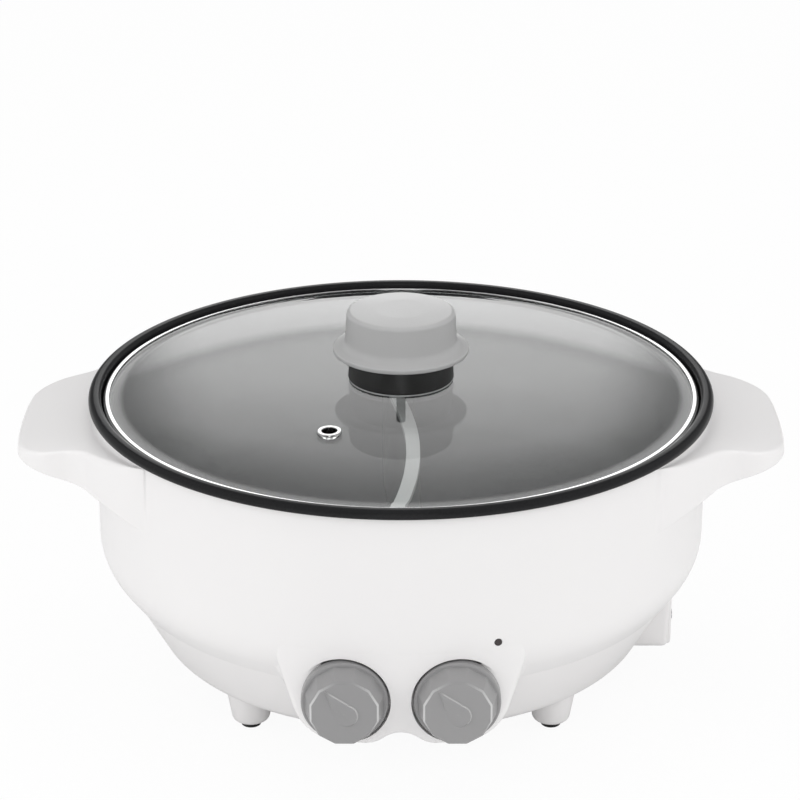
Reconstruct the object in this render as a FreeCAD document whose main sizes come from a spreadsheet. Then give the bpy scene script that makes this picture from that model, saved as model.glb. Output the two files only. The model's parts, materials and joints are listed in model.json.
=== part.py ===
import FreeCAD, Part
import math
import os
import re
import Sketcher
from FreeCAD import Placement, Rotation, Vector

# Round divided electric hot pot with a loose glass lid, two dials and an inlet box.
# Shapes are drawn about the pot's axis, with z = 0 on the table, +Z up, the front at -Y
# and +X at the user's right. At the end every piece moves back by the same small step, so
# that the origin lies under the middle of the whole pot, dials included.

os.makedirs("parts", exist_ok=True)
doc = FreeCAD.newDocument("hot_pot")
sheet = doc.addObject("Spreadsheet::Sheet", "sizes")

SIZES = {
    # pot and its flange
    "flange_top": 163.5,
    "flange_radius": 168.0,
    "flange_depth": 5.0,
    "flange_round": 2.2,
    "pot_wall": 1.8,
    "pot_floor": 82.0,
    "pot_floor_radius": 148.0,
    "pot_corner": 24.0,
    "pot_mouth": 155.5,
    "riser_radius": 161.2,
    "divider_drop": 14.0,
    "divider_half": 3.6,
    "divider_reach": 142.0,
    "divider_sway": 6.0,
    "divider_bend": 330.0,
    # white outer shell
    "bowl_radius": 164.4,
    "bowl_turn": 75.6,
    "bowl_round": 62.0,
    "shell_wall": 3.0,
    "seam_height": 58.5,
    "seam_radius": 151.4,
    "seam_step": 0.8,
    "shoulder_radius": 159.0,
    "seal_height": 0.8,
    "seal_width": 3.0,
    "cover_bottom": 20.0,
    "cover_floor_radius": 129.0,
    "cover_round": 16.0,
    "lip_height": 4.0,
    # handles
    "handle_reach": 206.0,
    "handle_half": 57.5,
    "handle_end": 51.0,
    "handle_root": 102.0,
    "handle_neck": 171.0,
    "handle_top": 149.0,
    "handle_top_fall": 6.5,
    "handle_edge": 5.0,
    "handle_skirt": 19.5,
    "handle_wall": 3.2,
    "handle_pocket": 169.0,
    "handle_soften": 1.8,
    # console
    "console_top": 112.0,
    "console_high_half": 66.0,
    "console_half": 63.0,
    "console_hip": 75.0,
    "lobe_outer": 49.5,
    "lobe_inner": 13.0,
    "lobe_bottom": 32.6,
    "lobe_round": 23.5,
    "lobe_inner_round": 16.0,
    "arch_top": 43.0,
    "arch_round": 14.0,
    "console_back": 118.0,
    "console_sink": 0.1,
    # dials and rotary thermostats
    "dial_offset": 28.3,
    "dial_height": 57.0,
    "dial_skirt_radius": 22.0,
    "dial_skirt": 7.0,
    "dial_face_radius": 17.8,
    "dial_grip_radius": 20.4,
    "dial_length": 19.0,
    "pointer_rise": 0.7,
    "pointer_round": 5.8,
    "pointer_reach": 15.6,
    "pointer_back": 1.4,
    "pointer_turn": 37.0,
    "dial_gap": 0.5,
    "dial_wall": 2.2,
    "dial_hub": 6.0,
    "pocket_clear": 1.2,
    "pocket_floor": 157.5,
    "spindle_radius": 3.0,
    "spindle_clear": 0.06,
    "spindle_flat": 2.2,
    "shaft_hole": 5.4,
    "bush_radius": 4.8,
    "bush_length": 6.0,
    "nut_size": 7.4,
    "nut_height": 2.6,
    "control_wide": 30.0,
    "control_tall": 26.0,
    "control_deep": 24.0,
    "tab_wide": 6.3,
    "tab_long": 9.0,
    "plate_front": 150.0,
    "plate_sheet": 1.2,
    "plate_half": 46.0,
    "plate_low": 48.0,
    "plate_high": 93.0,
    "post_radius": 3.6,
    "post_side": 38.0,
    "post_high": 87.0,
    "post_low": 51.0,
    "small_screw": 1.5,
    "lamp_side": 48.6,
    "lamp_height": 87.3,
    "lamp_window": 2.0,
    # glass lid
    "lid_radius": 160.3,
    "lid_top_drop": 2.5,
    "band_height": 5.2,
    "band_sheet": 0.6,
    "band_width": 3.5,
    "band_bevel": 0.4,
    "lid_clear": 0.2,
    "glass_clear": 0.1,
    "dome_radius": 152.0,
    "dome_rise": 7.0,
    "vent_side": 37.0,
    "vent_front": 72.0,
    "vent_hole": 4.0,
    "vent_ring": 6.5,
    "vent_sheet": 0.5,
    "vent_lip": 1.0,
    "vent_drill": 15.0,
    # lid knob
    "collar_radius": 28.5,
    "collar_height": 16.0,
    "collar_wall": 3.0,
    "brim_radius": 36.5,
    "brim_height": 3.6,
    "cap_radius": 29.2,
    "cap_height": 20.6,
    "cap_dome": 2.4,
    "knob_bore": 2.5,
    "knob_boss": 7.0,
    "gasket_height": 0.6,
    # heating
    "plate_radius": 104.0,
    "plate_gap": 14.0,
    "plate_thick": 4.0,
    "tube_radius": 3.5,
    "loop_near": 34.0,
    "loop_far": 92.0,
    "loop_half": 42.0,
    "loop_corner": 28.0,
    "tail_gap": 10.0,
    "shield_radius": 116.0,
    "shield_height": 62.0,
    "shield_sheet": 0.8,
    "shield_rim": 7.0,
    "shield_hole": 14.0,
    "cutout_radius": 8.0,
    "cutout_height": 9.0,
    "fuse_radius": 2.0,
    "fuse_length": 12.0,
    "fuse_side": 20.0,
    # legs and base fixings
    "leg_place": 80.0,
    "leg_tip": 3.0,
    "leg_tip_radius": 9.6,
    "leg_round": 4.0,
    "pad_radius": 5.3,
    "leg_root_radius": 14.0,
    "leg_root": 27.0,
    "pad_stem": 8.0,
    "screw_bore": 4.3,
    "screw_head_seat": 46.0,
    "screw_head": 3.6,
    "screw_head_height": 2.6,
    "screw_shank": 2.0,
    "column_radius": 6.4,
    "standoff_radius": 4.2,
    "shank_clear": 0.3,
    # inlet
    "inlet_face": 146.0,
    "inlet_half": 30.0,
    "inlet_top": 50.0,
    "inlet_wall": 2.6,
    "socket_height": 35.0,
    "socket_wide": 28.0,
    "socket_tall": 20.0,
    "socket_deep": 24.0,
    "socket_flange": 1.5,
    "socket_flange_wide": 46.0,
    "socket_flange_tall": 24.0,
    "recess_wide": 24.4,
    "recess_tall": 16.8,
    "recess_deep": 17.0,
    "pin_wide": 4.0,
    "pin_thick": 2.0,
    "pin_long": 24.0,
    "pin_spread": 7.0,
    "pin_raise": 2.5,
    "flange_screw_side": 18.5,
    "block_side": 92.0,
    "block_long": 34.0,
    "block_deep": 18.0,
    "block_tall": 13.0,
    "seat_gap": 0.3,
}

WORD = re.compile(r"[A-Za-z_]\w*")
NODES = []
MIDDLE = "(pocket_floor + dial_gap + dial_length - flange_radius) / 2"


def fill_sheet():
    for row, (alias, value) in enumerate(SIZES.items(), start=1):
        sheet.set("A%d" % row, alias)
        sheet.set("B%d" % row, str(value))
        sheet.setAlias("B%d" % row, alias)
    doc.recompute()


def linked(text):
    """The expression with each size written as a reference to its cell."""
    return WORD.sub(lambda word: ("sizes." if word.group(0) in SIZES else "") + word.group(0), str(text))


def number(text):
    return float(sheet.evalExpression(str(text)))


def bind(item, field, text):
    item.setExpression(field, linked(text))


def place(item, spot, turn=None):
    """Put an object at a spot given as three expressions, after an optional turn (axis, angle)."""
    if turn:
        axis, angle = turn
        item.Placement = Placement(Vector(0, 0, 0), Rotation(Vector(*axis), number(angle)))
        bind(item, "Placement.Rotation.Angle", angle)
    for field, text in zip("xyz", spot):
        bind(item, "Placement.Base." + field, text)
    return item


def keep(item, node, spot=("0", "0", "0"), turn=None):
    """Name a finished piece and move it back with the rest, so that the origin is central."""
    x, y, z = spot
    item.Label = node
    place(item, (x, "(%s) + %s" % (y, MIDDLE), z), turn)
    NODES.append(item)
    return item


def new_body(name):
    return doc.addObject("PartDesign::Body", name)


def plane_of(body, role):
    return [plane for plane in body.Origin.OriginFeatures if plane.Role == role]


def new_sketch(body, name, plane, lift):
    sketch = body.newObject("Sketcher::SketchObject", name)
    sketch.AttachmentSupport = [(plane_of(body, plane)[0], "")]
    sketch.MapMode = "FlatFace"
    bind(sketch, "AttachmentOffset.Base.z", lift)
    return sketch


def outline(body, name, plane, corners, lift="0"):
    """A closed sketch through corners (x, y[, rounding[, arc radius of the next side]]).

    The roundings are left to fillets of the solid. A positive arc radius bulges to the right.
    """
    sketch = new_sketch(body, name, plane, lift)
    corners = [tuple(corner) + (None,) * (4 - len(corner)) for corner in corners]
    spots = [Vector(number(corner[0]), number(corner[1]), 0) for corner in corners]
    rows = []
    for index, corner in enumerate(corners):
        rows.append(draw_side(sketch, spots[index], spots[(index + 1) % len(spots)], corner[3]))
    for index, corner in enumerate(corners):
        row, near, far = rows[index]
        before = rows[index - 1]
        sketch.addConstraint(Sketcher.Constraint("Coincident", before[0], before[2], row, near))
        pin_point(sketch, row, near, spots[index], corner)
    for index, corner in enumerate(corners):
        if corner[3]:
            fix_radius(sketch, rows[index][0], "abs(%s)" % corner[3])
    return sketch


def bent_path(body, name, plane, corners, lift):
    """An open sketch through corners (x, y[, rounding]) whose roundings are tangent arcs."""
    sketch = new_sketch(body, name, plane, lift)
    spots = [Vector(number(corner[0]), number(corner[1]), 0) for corner in corners]
    last = len(spots) - 1
    entry, leave = list(spots), list(spots)
    for index in range(1, last):
        back = (spots[index - 1] - spots[index]).normalize()
        ahead = (spots[index + 1] - spots[index]).normalize()
        reach = number(corners[index][2]) / math.tan(back.getAngle(ahead) / 2)
        entry[index] = spots[index] + back * reach
        leave[index] = spots[index] + ahead * reach
    rows = [draw_side(sketch, leave[index], entry[index + 1], None) for index in range(last)]
    marks = [sketch.addGeometry(Part.Point(spot), True) for spot in spots]
    arcs = [draw_rounding(sketch, spots[index], entry[index], leave[index], number(corners[index][2]))
            for index in range(1, last)]
    for index, mark in enumerate(marks):
        pin_point(sketch, mark, 1, spots[index], corners[index])
    sketch.addConstraint(Sketcher.Constraint("Coincident", rows[0][0], 1, marks[0], 1))
    for index in range(1, last):
        arc, near, far = arcs[index - 1]
        before, after = rows[index - 1][0], rows[index][0]
        sketch.addConstraint(Sketcher.Constraint("Tangent", before, 2, arc, near))
        sketch.addConstraint(Sketcher.Constraint("Tangent", arc, far, after, 1))
        sketch.addConstraint(Sketcher.Constraint("PointOnObject", marks[index], 1, before))
        sketch.addConstraint(Sketcher.Constraint("PointOnObject", marks[index], 1, after))
        fix_radius(sketch, arc, corners[index][2])
    sketch.addConstraint(Sketcher.Constraint("Coincident", rows[-1][0], 2, marks[last], 1))
    return sketch


def draw_side(sketch, start, end, bend):
    """A straight or arched side; gives its number and which of its ends lie at start and end."""
    if not bend:
        return sketch.addGeometry(Part.LineSegment(start, end), False), 1, 2
    radius = number(bend)
    chord = end - start
    left = Vector(-chord.y, chord.x, 0).normalize()
    depth = math.sqrt(radius * radius - chord.Length * chord.Length / 4)
    centre = (start + end) / 2 + left * math.copysign(depth, radius)
    return draw_arc(sketch, centre, start, end, radius > 0)


def draw_rounding(sketch, spot, entry, leave, size):
    """An arc that is tangent to both sides of a corner."""
    towards = ((entry - spot).normalize() + (leave - spot).normalize()).normalize()
    centre = spot + towards * math.hypot(size, (entry - spot).Length)
    turn = (spot - entry).cross(leave - spot).z
    return draw_arc(sketch, centre, entry, leave, turn > 0)


def draw_arc(sketch, centre, start, end, counter_clockwise):
    """Arcs are stored counter-clockwise, so one that is drawn the other way has its ends swapped."""
    first, last = (start, end) if counter_clockwise else (end, start)
    whole = Part.Circle(centre, Vector(0, 0, 1), (start - centre).Length)
    angles = [math.atan2(spot.y - centre.y, spot.x - centre.x) for spot in (first, last)]
    row = sketch.addGeometry(Part.ArcOfCircle(whole, angles[0], angles[1]), False)
    return (row, 1, 2) if counter_clockwise else (row, 2, 1)


def pin_point(sketch, row, end, spot, corner):
    for kind, value, text, axis in (("DistanceX", spot.x, corner[0], -2),
                                    ("DistanceY", spot.y, corner[1], -1)):
        if abs(value) < 1e-9:
            sketch.addConstraint(Sketcher.Constraint("PointOnObject", row, end, axis))
        else:
            rule = sketch.addConstraint(Sketcher.Constraint(kind, -1, 1, row, end, value))
            bind(sketch, "Constraints[%d]" % rule, text)


def fix_radius(sketch, row, text):
    rule = sketch.addConstraint(Sketcher.Constraint("Radius", row, number(text)))
    bind(sketch, "Constraints[%d]" % rule, text)


def circle(body, name, plane, x, y, radius, lift="0"):
    sketch = new_sketch(body, name, plane, lift)
    spot = Vector(number(x), number(y), 0)
    row = sketch.addGeometry(Part.Circle(spot, Vector(0, 0, 1), number(radius)), False)
    pin_point(sketch, row, 3, spot, (x, y))
    fix_radius(sketch, row, radius)
    return sketch


def turned(name, corners):
    """A solid of revolution about the vertical axis from a profile of (radius, height) corners."""
    body = new_body(name)
    profile = outline(body, name + "_profile", "XZ_Plane", corners)
    turn = body.newObject("PartDesign::Revolution", name + "_turn")
    turn.Profile = profile
    turn.ReferenceAxis = (profile, ["V_Axis"])
    turn.Angle = 360
    round_corners(body, corners, ring_corner)
    return body


def padded(name, plane, corners, length, lift="0"):
    body = new_body(name)
    profile = outline(body, name + "_outline", plane, corners, lift)
    pad = body.newObject("PartDesign::Pad", name + "_pad")
    pad.Profile = profile
    bind(pad, "Length", length)
    round_corners(body, corners, VIEWS[plane])
    return body


def round_corners(body, corners, seen):
    """Fillet the edges that stand on a profile's rounded corners, one feature for each radius."""
    radii = []
    for corner in corners:
        if len(corner) > 2 and corner[2] and corner[2] not in radii:
            radii.append(corner[2])
    for order, radius in enumerate(radii):
        spots = [(number(corner[0]), number(corner[1])) for corner in corners
                 if len(corner) > 2 and corner[2] == radius]
        softened(body, "%s_round_%d" % (body.Name, order), radius, lambda edge: meets(seen(edge), spots))


def meets(found, spots):
    return found is not None and any(math.hypot(found[0] - x, found[1] - y) < 0.01 for x, y in spots)


def ring_corner(edge):
    """Radius and height of a horizontal circle about the axis."""
    if edge.Degenerated or not hasattr(edge.Curve, "Radius") or edge.BoundBox.ZLength > 0.001:
        return None
    return edge.Curve.Radius, edge.Curve.Center.z


def straight_ends(edge):
    if edge.Degenerated or edge.Curve.TypeId != "Part::GeomLine":
        return None
    return [vertex.Point for vertex in edge.Vertexes]


def upright_corner(edge):
    ends = straight_ends(edge)
    if ends and math.hypot(ends[0].x - ends[1].x, ends[0].y - ends[1].y) < 0.001:
        return ends[0].x, ends[0].y
    return None


def level_corner(edge):
    """Place of an edge that runs along Y, as seen from the front."""
    ends = straight_ends(edge)
    if ends and math.hypot(ends[0].x - ends[1].x, ends[0].z - ends[1].z) < 0.001:
        return ends[0].x, ends[0].z
    return None


VIEWS = {"XY_Plane": upright_corner, "XZ_Plane": level_corner}


def slotted(body, name, plane, corners, length, lift="0"):
    """Cut a prism, centred on the sketch's plane, out of a body."""
    profile = outline(body, name + "_outline", plane, corners, lift)
    pocket = body.newObject("PartDesign::Pocket", name)
    pocket.Profile = profile
    pocket.SideType = "Symmetric"
    bind(pocket, "Length", length)
    return body


def softened(body, name, radius, wanted):
    """Round the edges of a body that a test picks."""
    doc.recompute()
    base = body.Tip
    edges = ["Edge%d" % (row + 1) for row, edge in enumerate(base.Shape.Edges) if wanted(edge)]
    fillet = body.newObject("PartDesign::Fillet", name)
    fillet.Base = (base, edges)
    bind(fillet, "Radius", radius)
    return body


def rod(name, radius, length, spot=("0", "0", "0"), turn=None):
    item = doc.addObject("Part::Cylinder", name)
    bind(item, "Radius", radius)
    bind(item, "Height", length)
    return place(item, spot, turn)


def block(name, size, corner):
    item = doc.addObject("Part::Box", name)
    for field, text in zip(("Length", "Width", "Height"), size):
        bind(item, field, text)
    return place(item, corner)


def hexagon(name, radius, length, spot=("0", "0", "0"), turn=None):
    item = doc.addObject("Part::Prism", name)
    item.Polygon = 6
    bind(item, "Circumradius", radius)
    bind(item, "Height", length)
    return place(item, spot, turn)


def joined(name, items):
    item = doc.addObject("Part::MultiFuse", name)
    item.Shapes = items
    return item


def shared(name, items):
    item = doc.addObject("Part::MultiCommon", name)
    item.Shapes = items
    return item


def cut(name, base, tools):
    item = doc.addObject("Part::Cut", name)
    item.Base = base
    item.Tool = tools[0] if len(tools) == 1 else joined(name + "_tools", tools)
    return item


def group(name, items):
    item = doc.addObject("Part::Compound", name)
    item.Links = items
    return item


FORWARD = ((1, 0, 0), "90")
OUTWARD = ((0, 1, 0), "90")
LEGS = [("front_left", "-", "-"), ("front_right", "", "-"), ("rear_left", "-", ""), ("rear_right", "", "")]
SIDES = [("left", "-"), ("right", "")]

SEAT = "flange_top - lid_top_drop - band_height - lid_clear"
SHOULDER = "flange_top - lid_top_drop - band_height - lid_clear - pot_wall - seal_height"
SHELL_TOP = "flange_top - flange_depth - seat_gap"
GLASS_EDGE = "flange_top - lid_top_drop - band_sheet"
GLASS = "band_height - 2 * band_sheet"
GLASS_TOP = "flange_top - lid_top_drop - band_sheet + dome_rise"
DOME = "(dome_radius^2 + dome_rise^2) / (2 * dome_rise)"
CAP_DOME = "((cap_radius - 3)^2 + cap_dome^2) / (2 * cap_dome)"
HEATER_LOW = "pot_floor - pot_wall - plate_thick"


def pot():
    """Pressed pan: floor, leaning wall, seat for the lid, riser and a closed roll at the rim."""
    under = "(%s) - pot_wall" % SEAT
    return keep(turned("pan", [
        ("0", "pot_floor"),
        ("pot_floor_radius", "pot_floor", "pot_corner"),
        ("pot_mouth", SEAT, "1"),
        ("riser_radius", SEAT),
        ("riser_radius", "flange_top", "1.5"),
        ("flange_radius", "flange_top", "flange_round"),
        ("flange_radius", "flange_top - flange_depth", "flange_round"),
        ("riser_radius + pot_wall", "flange_top - flange_depth"),
        ("riser_radius + pot_wall", under),
        ("pot_mouth + pot_wall", under, "1"),
        ("pot_floor_radius + pot_wall", "pot_floor - pot_wall", "pot_corner + pot_wall"),
        ("0", "pot_floor - pot_wall"),
    ]), "pot")


def pot_hollow(name):
    return turned(name, [
        ("0", "pot_floor"),
        ("pot_floor_radius", "pot_floor", "pot_corner"),
        ("pot_mouth", SEAT),
        ("0", SEAT),
    ])


def divider_wall():
    """S-shaped wall across the pot: two gentle arcs, mirrored about the pot's axis."""
    wall = padded("divider_sheet", "XY_Plane", [
        ("-divider_sway + divider_half", "-divider_reach - 12", None, "divider_bend"),
        ("divider_half", "0", None, "-divider_bend"),
        ("divider_sway + divider_half", "divider_reach + 12"),
        ("divider_sway - divider_half", "divider_reach + 12", None, "divider_bend"),
        ("-divider_half", "0", None, "-divider_bend"),
        ("-divider_sway - divider_half", "-divider_reach - 12"),
    ], "flange_top - divider_drop - pot_floor", "pot_floor")
    return keep(shared("divider_fitted", [wall, pot_hollow("divider_room")]), "divider_wall")


def flange_seal():
    return keep(turned("seal_ring", [
        ("shoulder_radius + 0.4", SHOULDER),
        ("shoulder_radius + 0.4 + seal_width", SHOULDER),
        ("shoulder_radius + 0.4 + seal_width", "(%s) + seal_height" % SHOULDER),
        ("shoulder_radius + 0.4", "(%s) + seal_height" % SHOULDER),
    ]), "flange_seal")


def console_corners(inset):
    """Front outline of the two-lobed console, moved inwards by an inset."""
    half = [
        ("lobe_inner", "lobe_bottom + (%s)" % inset, "lobe_inner_round"),
        ("lobe_outer - (%s) * 0.7" % inset, "lobe_bottom + (%s)" % inset, "lobe_round - (%s)" % inset),
        ("console_half - (%s)" % inset, "console_hip", "30"),
        ("console_high_half - (%s)" % inset, "console_top"),
    ]
    mirrored = [("-(%s)" % corner[0],) + corner[1:] for corner in reversed(half)]
    return [("0", "arch_top + (%s)" % inset, "arch_round")] + half + mirrored


def console_block(name, inset, radius, back):
    """Prism of the console's outline, cut in front to the bowl's own round."""
    depth = "bowl_radius + 20 - (%s)" % back
    body = padded(name, "XZ_Plane", console_corners(inset), depth, back)
    wide = "console_high_half + 10"
    edge = "-sqrt((%s)^2 - (console_high_half + 10)^2)" % radius
    slotted(body, name + "_front", "XY_Plane", [
        ("-(%s)" % wide, edge, None, "(%s)" % radius),
        (wide, edge),
        (wide, "-bowl_radius - 60"),
        ("-(%s)" % wide, "-bowl_radius - 60"),
    ], "3 * flange_top")
    return body


def handle_corners(inset, start):
    """Plan of one handle lobe: a flared root, nearly parallel sides and a broad round end."""
    return [
        (start, "-handle_root + (%s)" % inset),
        ("handle_neck", "-handle_half + (%s)" % inset, "26"),
        ("handle_reach - 3 - (%s)" % inset, "-handle_end + (%s)" % inset, "25 - (%s)" % inset),
        ("handle_reach - (%s)" % inset, "0", "220"),
        ("handle_reach - 3 - (%s)" % inset, "handle_end - (%s)" % inset, "25 - (%s)" % inset),
        ("handle_neck", "handle_half - (%s)" % inset, "26"),
        (start, "handle_root - (%s)" % inset),
    ]


def handle_lobe():
    """Handle slab: flat plan cut above and below by sloping planes, with soft edges."""
    root = "128"
    lobe = padded("handle_lobe", "XY_Plane", handle_corners("0", root), "60", "handle_top - 45")
    far = "handle_reach + 30"
    fall = "handle_top - handle_top_fall * (%s - handle_neck) / (handle_reach - handle_neck)"
    slotted(lobe, "handle_top_slope", "XZ_Plane", [
        ("110", fall % "110"),
        (far, fall % "(handle_reach + 30)"),
        (far, "handle_top + 60"),
        ("110", "handle_top + 60"),
    ], "3 * handle_root")
    low = "handle_top - handle_skirt + (handle_skirt - handle_top_fall - handle_edge)"
    low = low + " * (%s - handle_neck) / (handle_reach - handle_neck)"
    slotted(lobe, "handle_low_slope", "XZ_Plane", [
        ("110", low % "110"),
        ("110", "handle_top - 90"),
        (far, "handle_top - 90"),
        (far, low % "(handle_reach + 30)"),
    ], "3 * handle_root")
    return softened(lobe, "handle_edges", "handle_soften", rim_edge)


def rim_edge(edge):
    """True for the long edges round the lobe's outer wall, both above and below."""
    return upright_corner(edge) is None and edge.BoundBox.XMax > number("handle_neck") - 40


def handle_hollow():
    """Finger pocket under the handle, open below, one wall inside the lobe's outline."""
    far = "handle_reach + 30"
    inset = "handle_wall"
    hollow = padded("handle_hollow", "XY_Plane", [
        ("handle_pocket", "-handle_half + handle_wall"),
        ("handle_reach - 3 - handle_wall", "-handle_end + handle_wall", "25 - handle_wall"),
        ("handle_reach - handle_wall", "0", "220"),
        ("handle_reach - 3 - handle_wall", "handle_end - handle_wall", "25 - handle_wall"),
        ("handle_pocket", "handle_half - handle_wall"),
    ], "60", "handle_top - 60")
    fall = "handle_top - handle_wall - handle_top_fall * (%s - handle_neck) / (handle_reach - handle_neck)"
    slotted(hollow, "handle_hollow_slope", "XZ_Plane", [
        ("110", fall % "110"),
        (far, fall % "(handle_reach + 30)"),
        (far, "handle_top + 60"),
        ("110", "handle_top + 60"),
    ], "3 * handle_root")
    return hollow


def mirrored(name, source):
    item = doc.addObject("Part::Mirroring", name)
    item.Source = source
    item.Normal = Vector(1, 0, 0)
    return item


def bowl_room(name):
    """The space inside the bowl's wall, used to trim what is joined to the wall."""
    return turned(name, [
        ("0", "seam_height"),
        ("seam_radius - shell_wall * 1.26 - 0.6", "seam_height"),
        ("bowl_radius - shell_wall - 0.4", "bowl_turn", "bowl_round - shell_wall"),
        ("bowl_radius - shell_wall - 0.4", SHOULDER),
        ("riser_radius + pot_wall + seat_gap", SHOULDER),
        ("riser_radius + pot_wall + seat_gap", "flange_top"),
        ("0", "flange_top"),
    ])


def bowl_wall():
    """Ring section: bulging wall with an inner shoulder for the pot and a thin upper lip."""
    return turned("bowl_wall", [
        ("seam_radius", "seam_height"),
        ("bowl_radius", "bowl_turn", "bowl_round"),
        ("bowl_radius", SHELL_TOP),
        ("riser_radius + pot_wall + seat_gap", SHELL_TOP),
        ("riser_radius + pot_wall + seat_gap", SHOULDER),
        ("shoulder_radius", SHOULDER),
        ("shoulder_radius", "(%s) - shell_wall * 0.8" % SHOULDER),
        ("bowl_radius - shell_wall", "(%s) - 2 * shell_wall" % SHOULDER),
        ("bowl_radius - shell_wall", "bowl_turn", "bowl_round - shell_wall"),
        ("seam_radius - shell_wall * 1.26", "seam_height"),
    ])


def body_shell():
    """White bowl with both handles and the hollow console, moulded as one."""
    console_room = console_block("console_room", "shell_wall",
                                 "bowl_radius - shell_wall - 2 * console_sink", "console_back - 12")
    room = bowl_room("bowl_room")
    open_bowl = cut("bowl_open", bowl_wall(), [console_room])
    console = cut("console_wall", console_block("console_solid", "0", "bowl_radius - console_sink",
                                                "console_back"), [console_room])
    console = cut("console_trimmed", console, [room])
    handle = cut("handle_shell", handle_lobe(), [room, handle_hollow()])
    cups = []
    wells = []
    for name, sign in SIDES:
        spot = (sign + "dial_offset", "-pocket_floor + shell_wall", "dial_height")
        cups.append(rod("dial_cup_" + name, "dial_skirt_radius + pocket_clear + 2", "shell_wall + 3",
                        spot, FORWARD))
        spot = (sign + "dial_offset", "-pocket_floor", "dial_height")
        wells.append(rod("dial_well_" + name, "dial_skirt_radius + pocket_clear", "40", spot, FORWARD))
        spot = (sign + "dial_offset", "-pocket_floor + 10", "dial_height")
        wells.append(rod("shaft_hole_" + name, "shaft_hole", "40", spot, FORWARD))
    posts = []
    for name, x, z in post_spots():
        length = "sqrt((bowl_radius - shell_wall / 2)^2 - (%s)^2) - plate_front" % x
        posts.append(rod("post_" + name, "post_radius", length, (x, "-plate_front", z), FORWARD))
        wells.append(rod("post_hole_" + name, "small_screw", "7", (x, "-plate_front", z), FORWARD))
    limit = console_block("cup_limit", "0.4", "bowl_radius - 0.6", "console_back - 12")
    cup_pair = shared("dial_cups", [joined("cup_pair", cups), limit])
    wells.append(rod("window_hole", "lamp_window", "20", ("lamp_side", "-plate_front", "lamp_height"),
                     FORWARD))
    whole = joined("shell_full", [open_bowl, console, handle, mirrored("handle_left", handle),
                                  cup_pair] + posts)
    return keep(cut("shell_drilled", whole, wells), "body_shell")


def post_spots():
    return [("low", "0", "post_low"), ("left", "-post_side", "post_high"),
            ("right", "post_side", "post_high")]


def base_cover():
    """White lower shell with four hollow legs, screw columns, vents and the inlet box."""
    solid = turned("cover_solid", [
        ("0", "cover_bottom"),
        ("cover_floor_radius", "cover_bottom", "cover_round"),
        ("seam_radius - seam_step", "seam_height"),
        ("0", "seam_height"),
    ])
    room = turned("cover_room", [
        ("0", "cover_bottom + shell_wall"),
        ("cover_floor_radius - 2", "cover_bottom + shell_wall", "cover_round - shell_wall"),
        ("seam_radius - seam_step - 1.14 * shell_wall", "seam_height"),
        ("0", "seam_height"),
    ])
    lip = turned("cover_lip", [
        ("seam_radius - 1.26 * shell_wall - seat_gap - 2.4", "seam_height - 3"),
        ("seam_radius - 1.26 * shell_wall - seat_gap", "seam_height - 3"),
        ("seam_radius - 1.26 * shell_wall - seat_gap", "seam_height + lip_height"),
        ("seam_radius - 1.26 * shell_wall - seat_gap - 2.4", "seam_height + lip_height"),
    ])
    box = block("inlet_box", ("60", "2 * inlet_half", "inlet_top - cover_bottom"),
                ("inlet_face - 60", "-inlet_half", "cover_bottom"))
    box_room = block("inlet_room",
                     ("70", "2 * (inlet_half - inlet_wall)", "inlet_top - cover_bottom - 2 * inlet_wall"),
                     ("inlet_face - inlet_wall - 70", "-inlet_half + inlet_wall",
                      "cover_bottom + inlet_wall"))
    legs = []
    columns = []
    bores = []
    for name, x, y in LEGS:
        spot = (x + "leg_place", y + "leg_place")
        leg = turned("leg_" + name, [
            ("0", "leg_tip"),
            ("leg_tip_radius", "leg_tip", "leg_round"),
            ("leg_root_radius", "leg_root"),
            ("0", "leg_root"),
        ])
        legs.append(place(leg, spot + ("0",)))
        columns.append(rod("column_" + name, "column_radius", "shield_height - cover_bottom",
                           spot + ("cover_bottom",)))
        bores.append(rod("leg_bore_" + name, "screw_bore", "screw_head_seat", spot + ("0",)))
        bores.append(rod("shank_bore_" + name, "screw_shank + shank_clear", "80", spot + ("0",)))
    outside = joined("cover_outside", [solid, box] + legs)
    hollow = cut("cover_hollow", outside, [room, box_room])
    notch = padded("console_notch", "XZ_Plane", console_corners("-seat_gap"), "80", "console_back - 14")
    window = block("socket_window", ("20", "socket_wide + 2 * glass_clear", "socket_tall + 2 * glass_clear"),
                   ("inlet_face - 10", "-socket_wide / 2 - glass_clear",
                    "socket_height - socket_tall / 2 - glass_clear"))
    tools = bores + [window, notch] + vent_slots() + socket_screw_holes()
    return keep(cut("cover_drilled", joined("cover_full", [hollow, lip] + columns), tools), "base_cover")


def vent_slots():
    """Rows of narrow slots through the floor, either side of the middle."""
    slots = []
    for row in range(-4, 5):
        spot = ("%d * 10 - 1.3" % row, "-24", "cover_bottom - 5")
        slots.append(block("vent_%d" % (row + 5), ("2.6", "48", "20"), spot))
    return slots


def socket_screw_holes():
    return [rod("socket_screw_hole_" + name, "small_screw", "12",
                ("inlet_face - 10", sign + "flange_screw_side",
                 "socket_height"), OUTWARD) for name, sign in SIDES]


def foot_pads():
    """Rubber pads: a disc on the table with a stem that plugs the leg's bore."""
    for name, x, y in LEGS:
        pad = turned("pad_" + name, [
            ("0", "0"),
            ("pad_radius", "0", "0.8"),
            ("pad_radius", "leg_tip"),
            ("screw_bore - glass_clear", "leg_tip"),
            ("screw_bore - glass_clear", "leg_tip + pad_stem", "1"),
            ("0", "leg_tip + pad_stem"),
        ])
        keep(pad, "foot_pad_" + name, (x + "leg_place", y + "leg_place", "0"))


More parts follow.
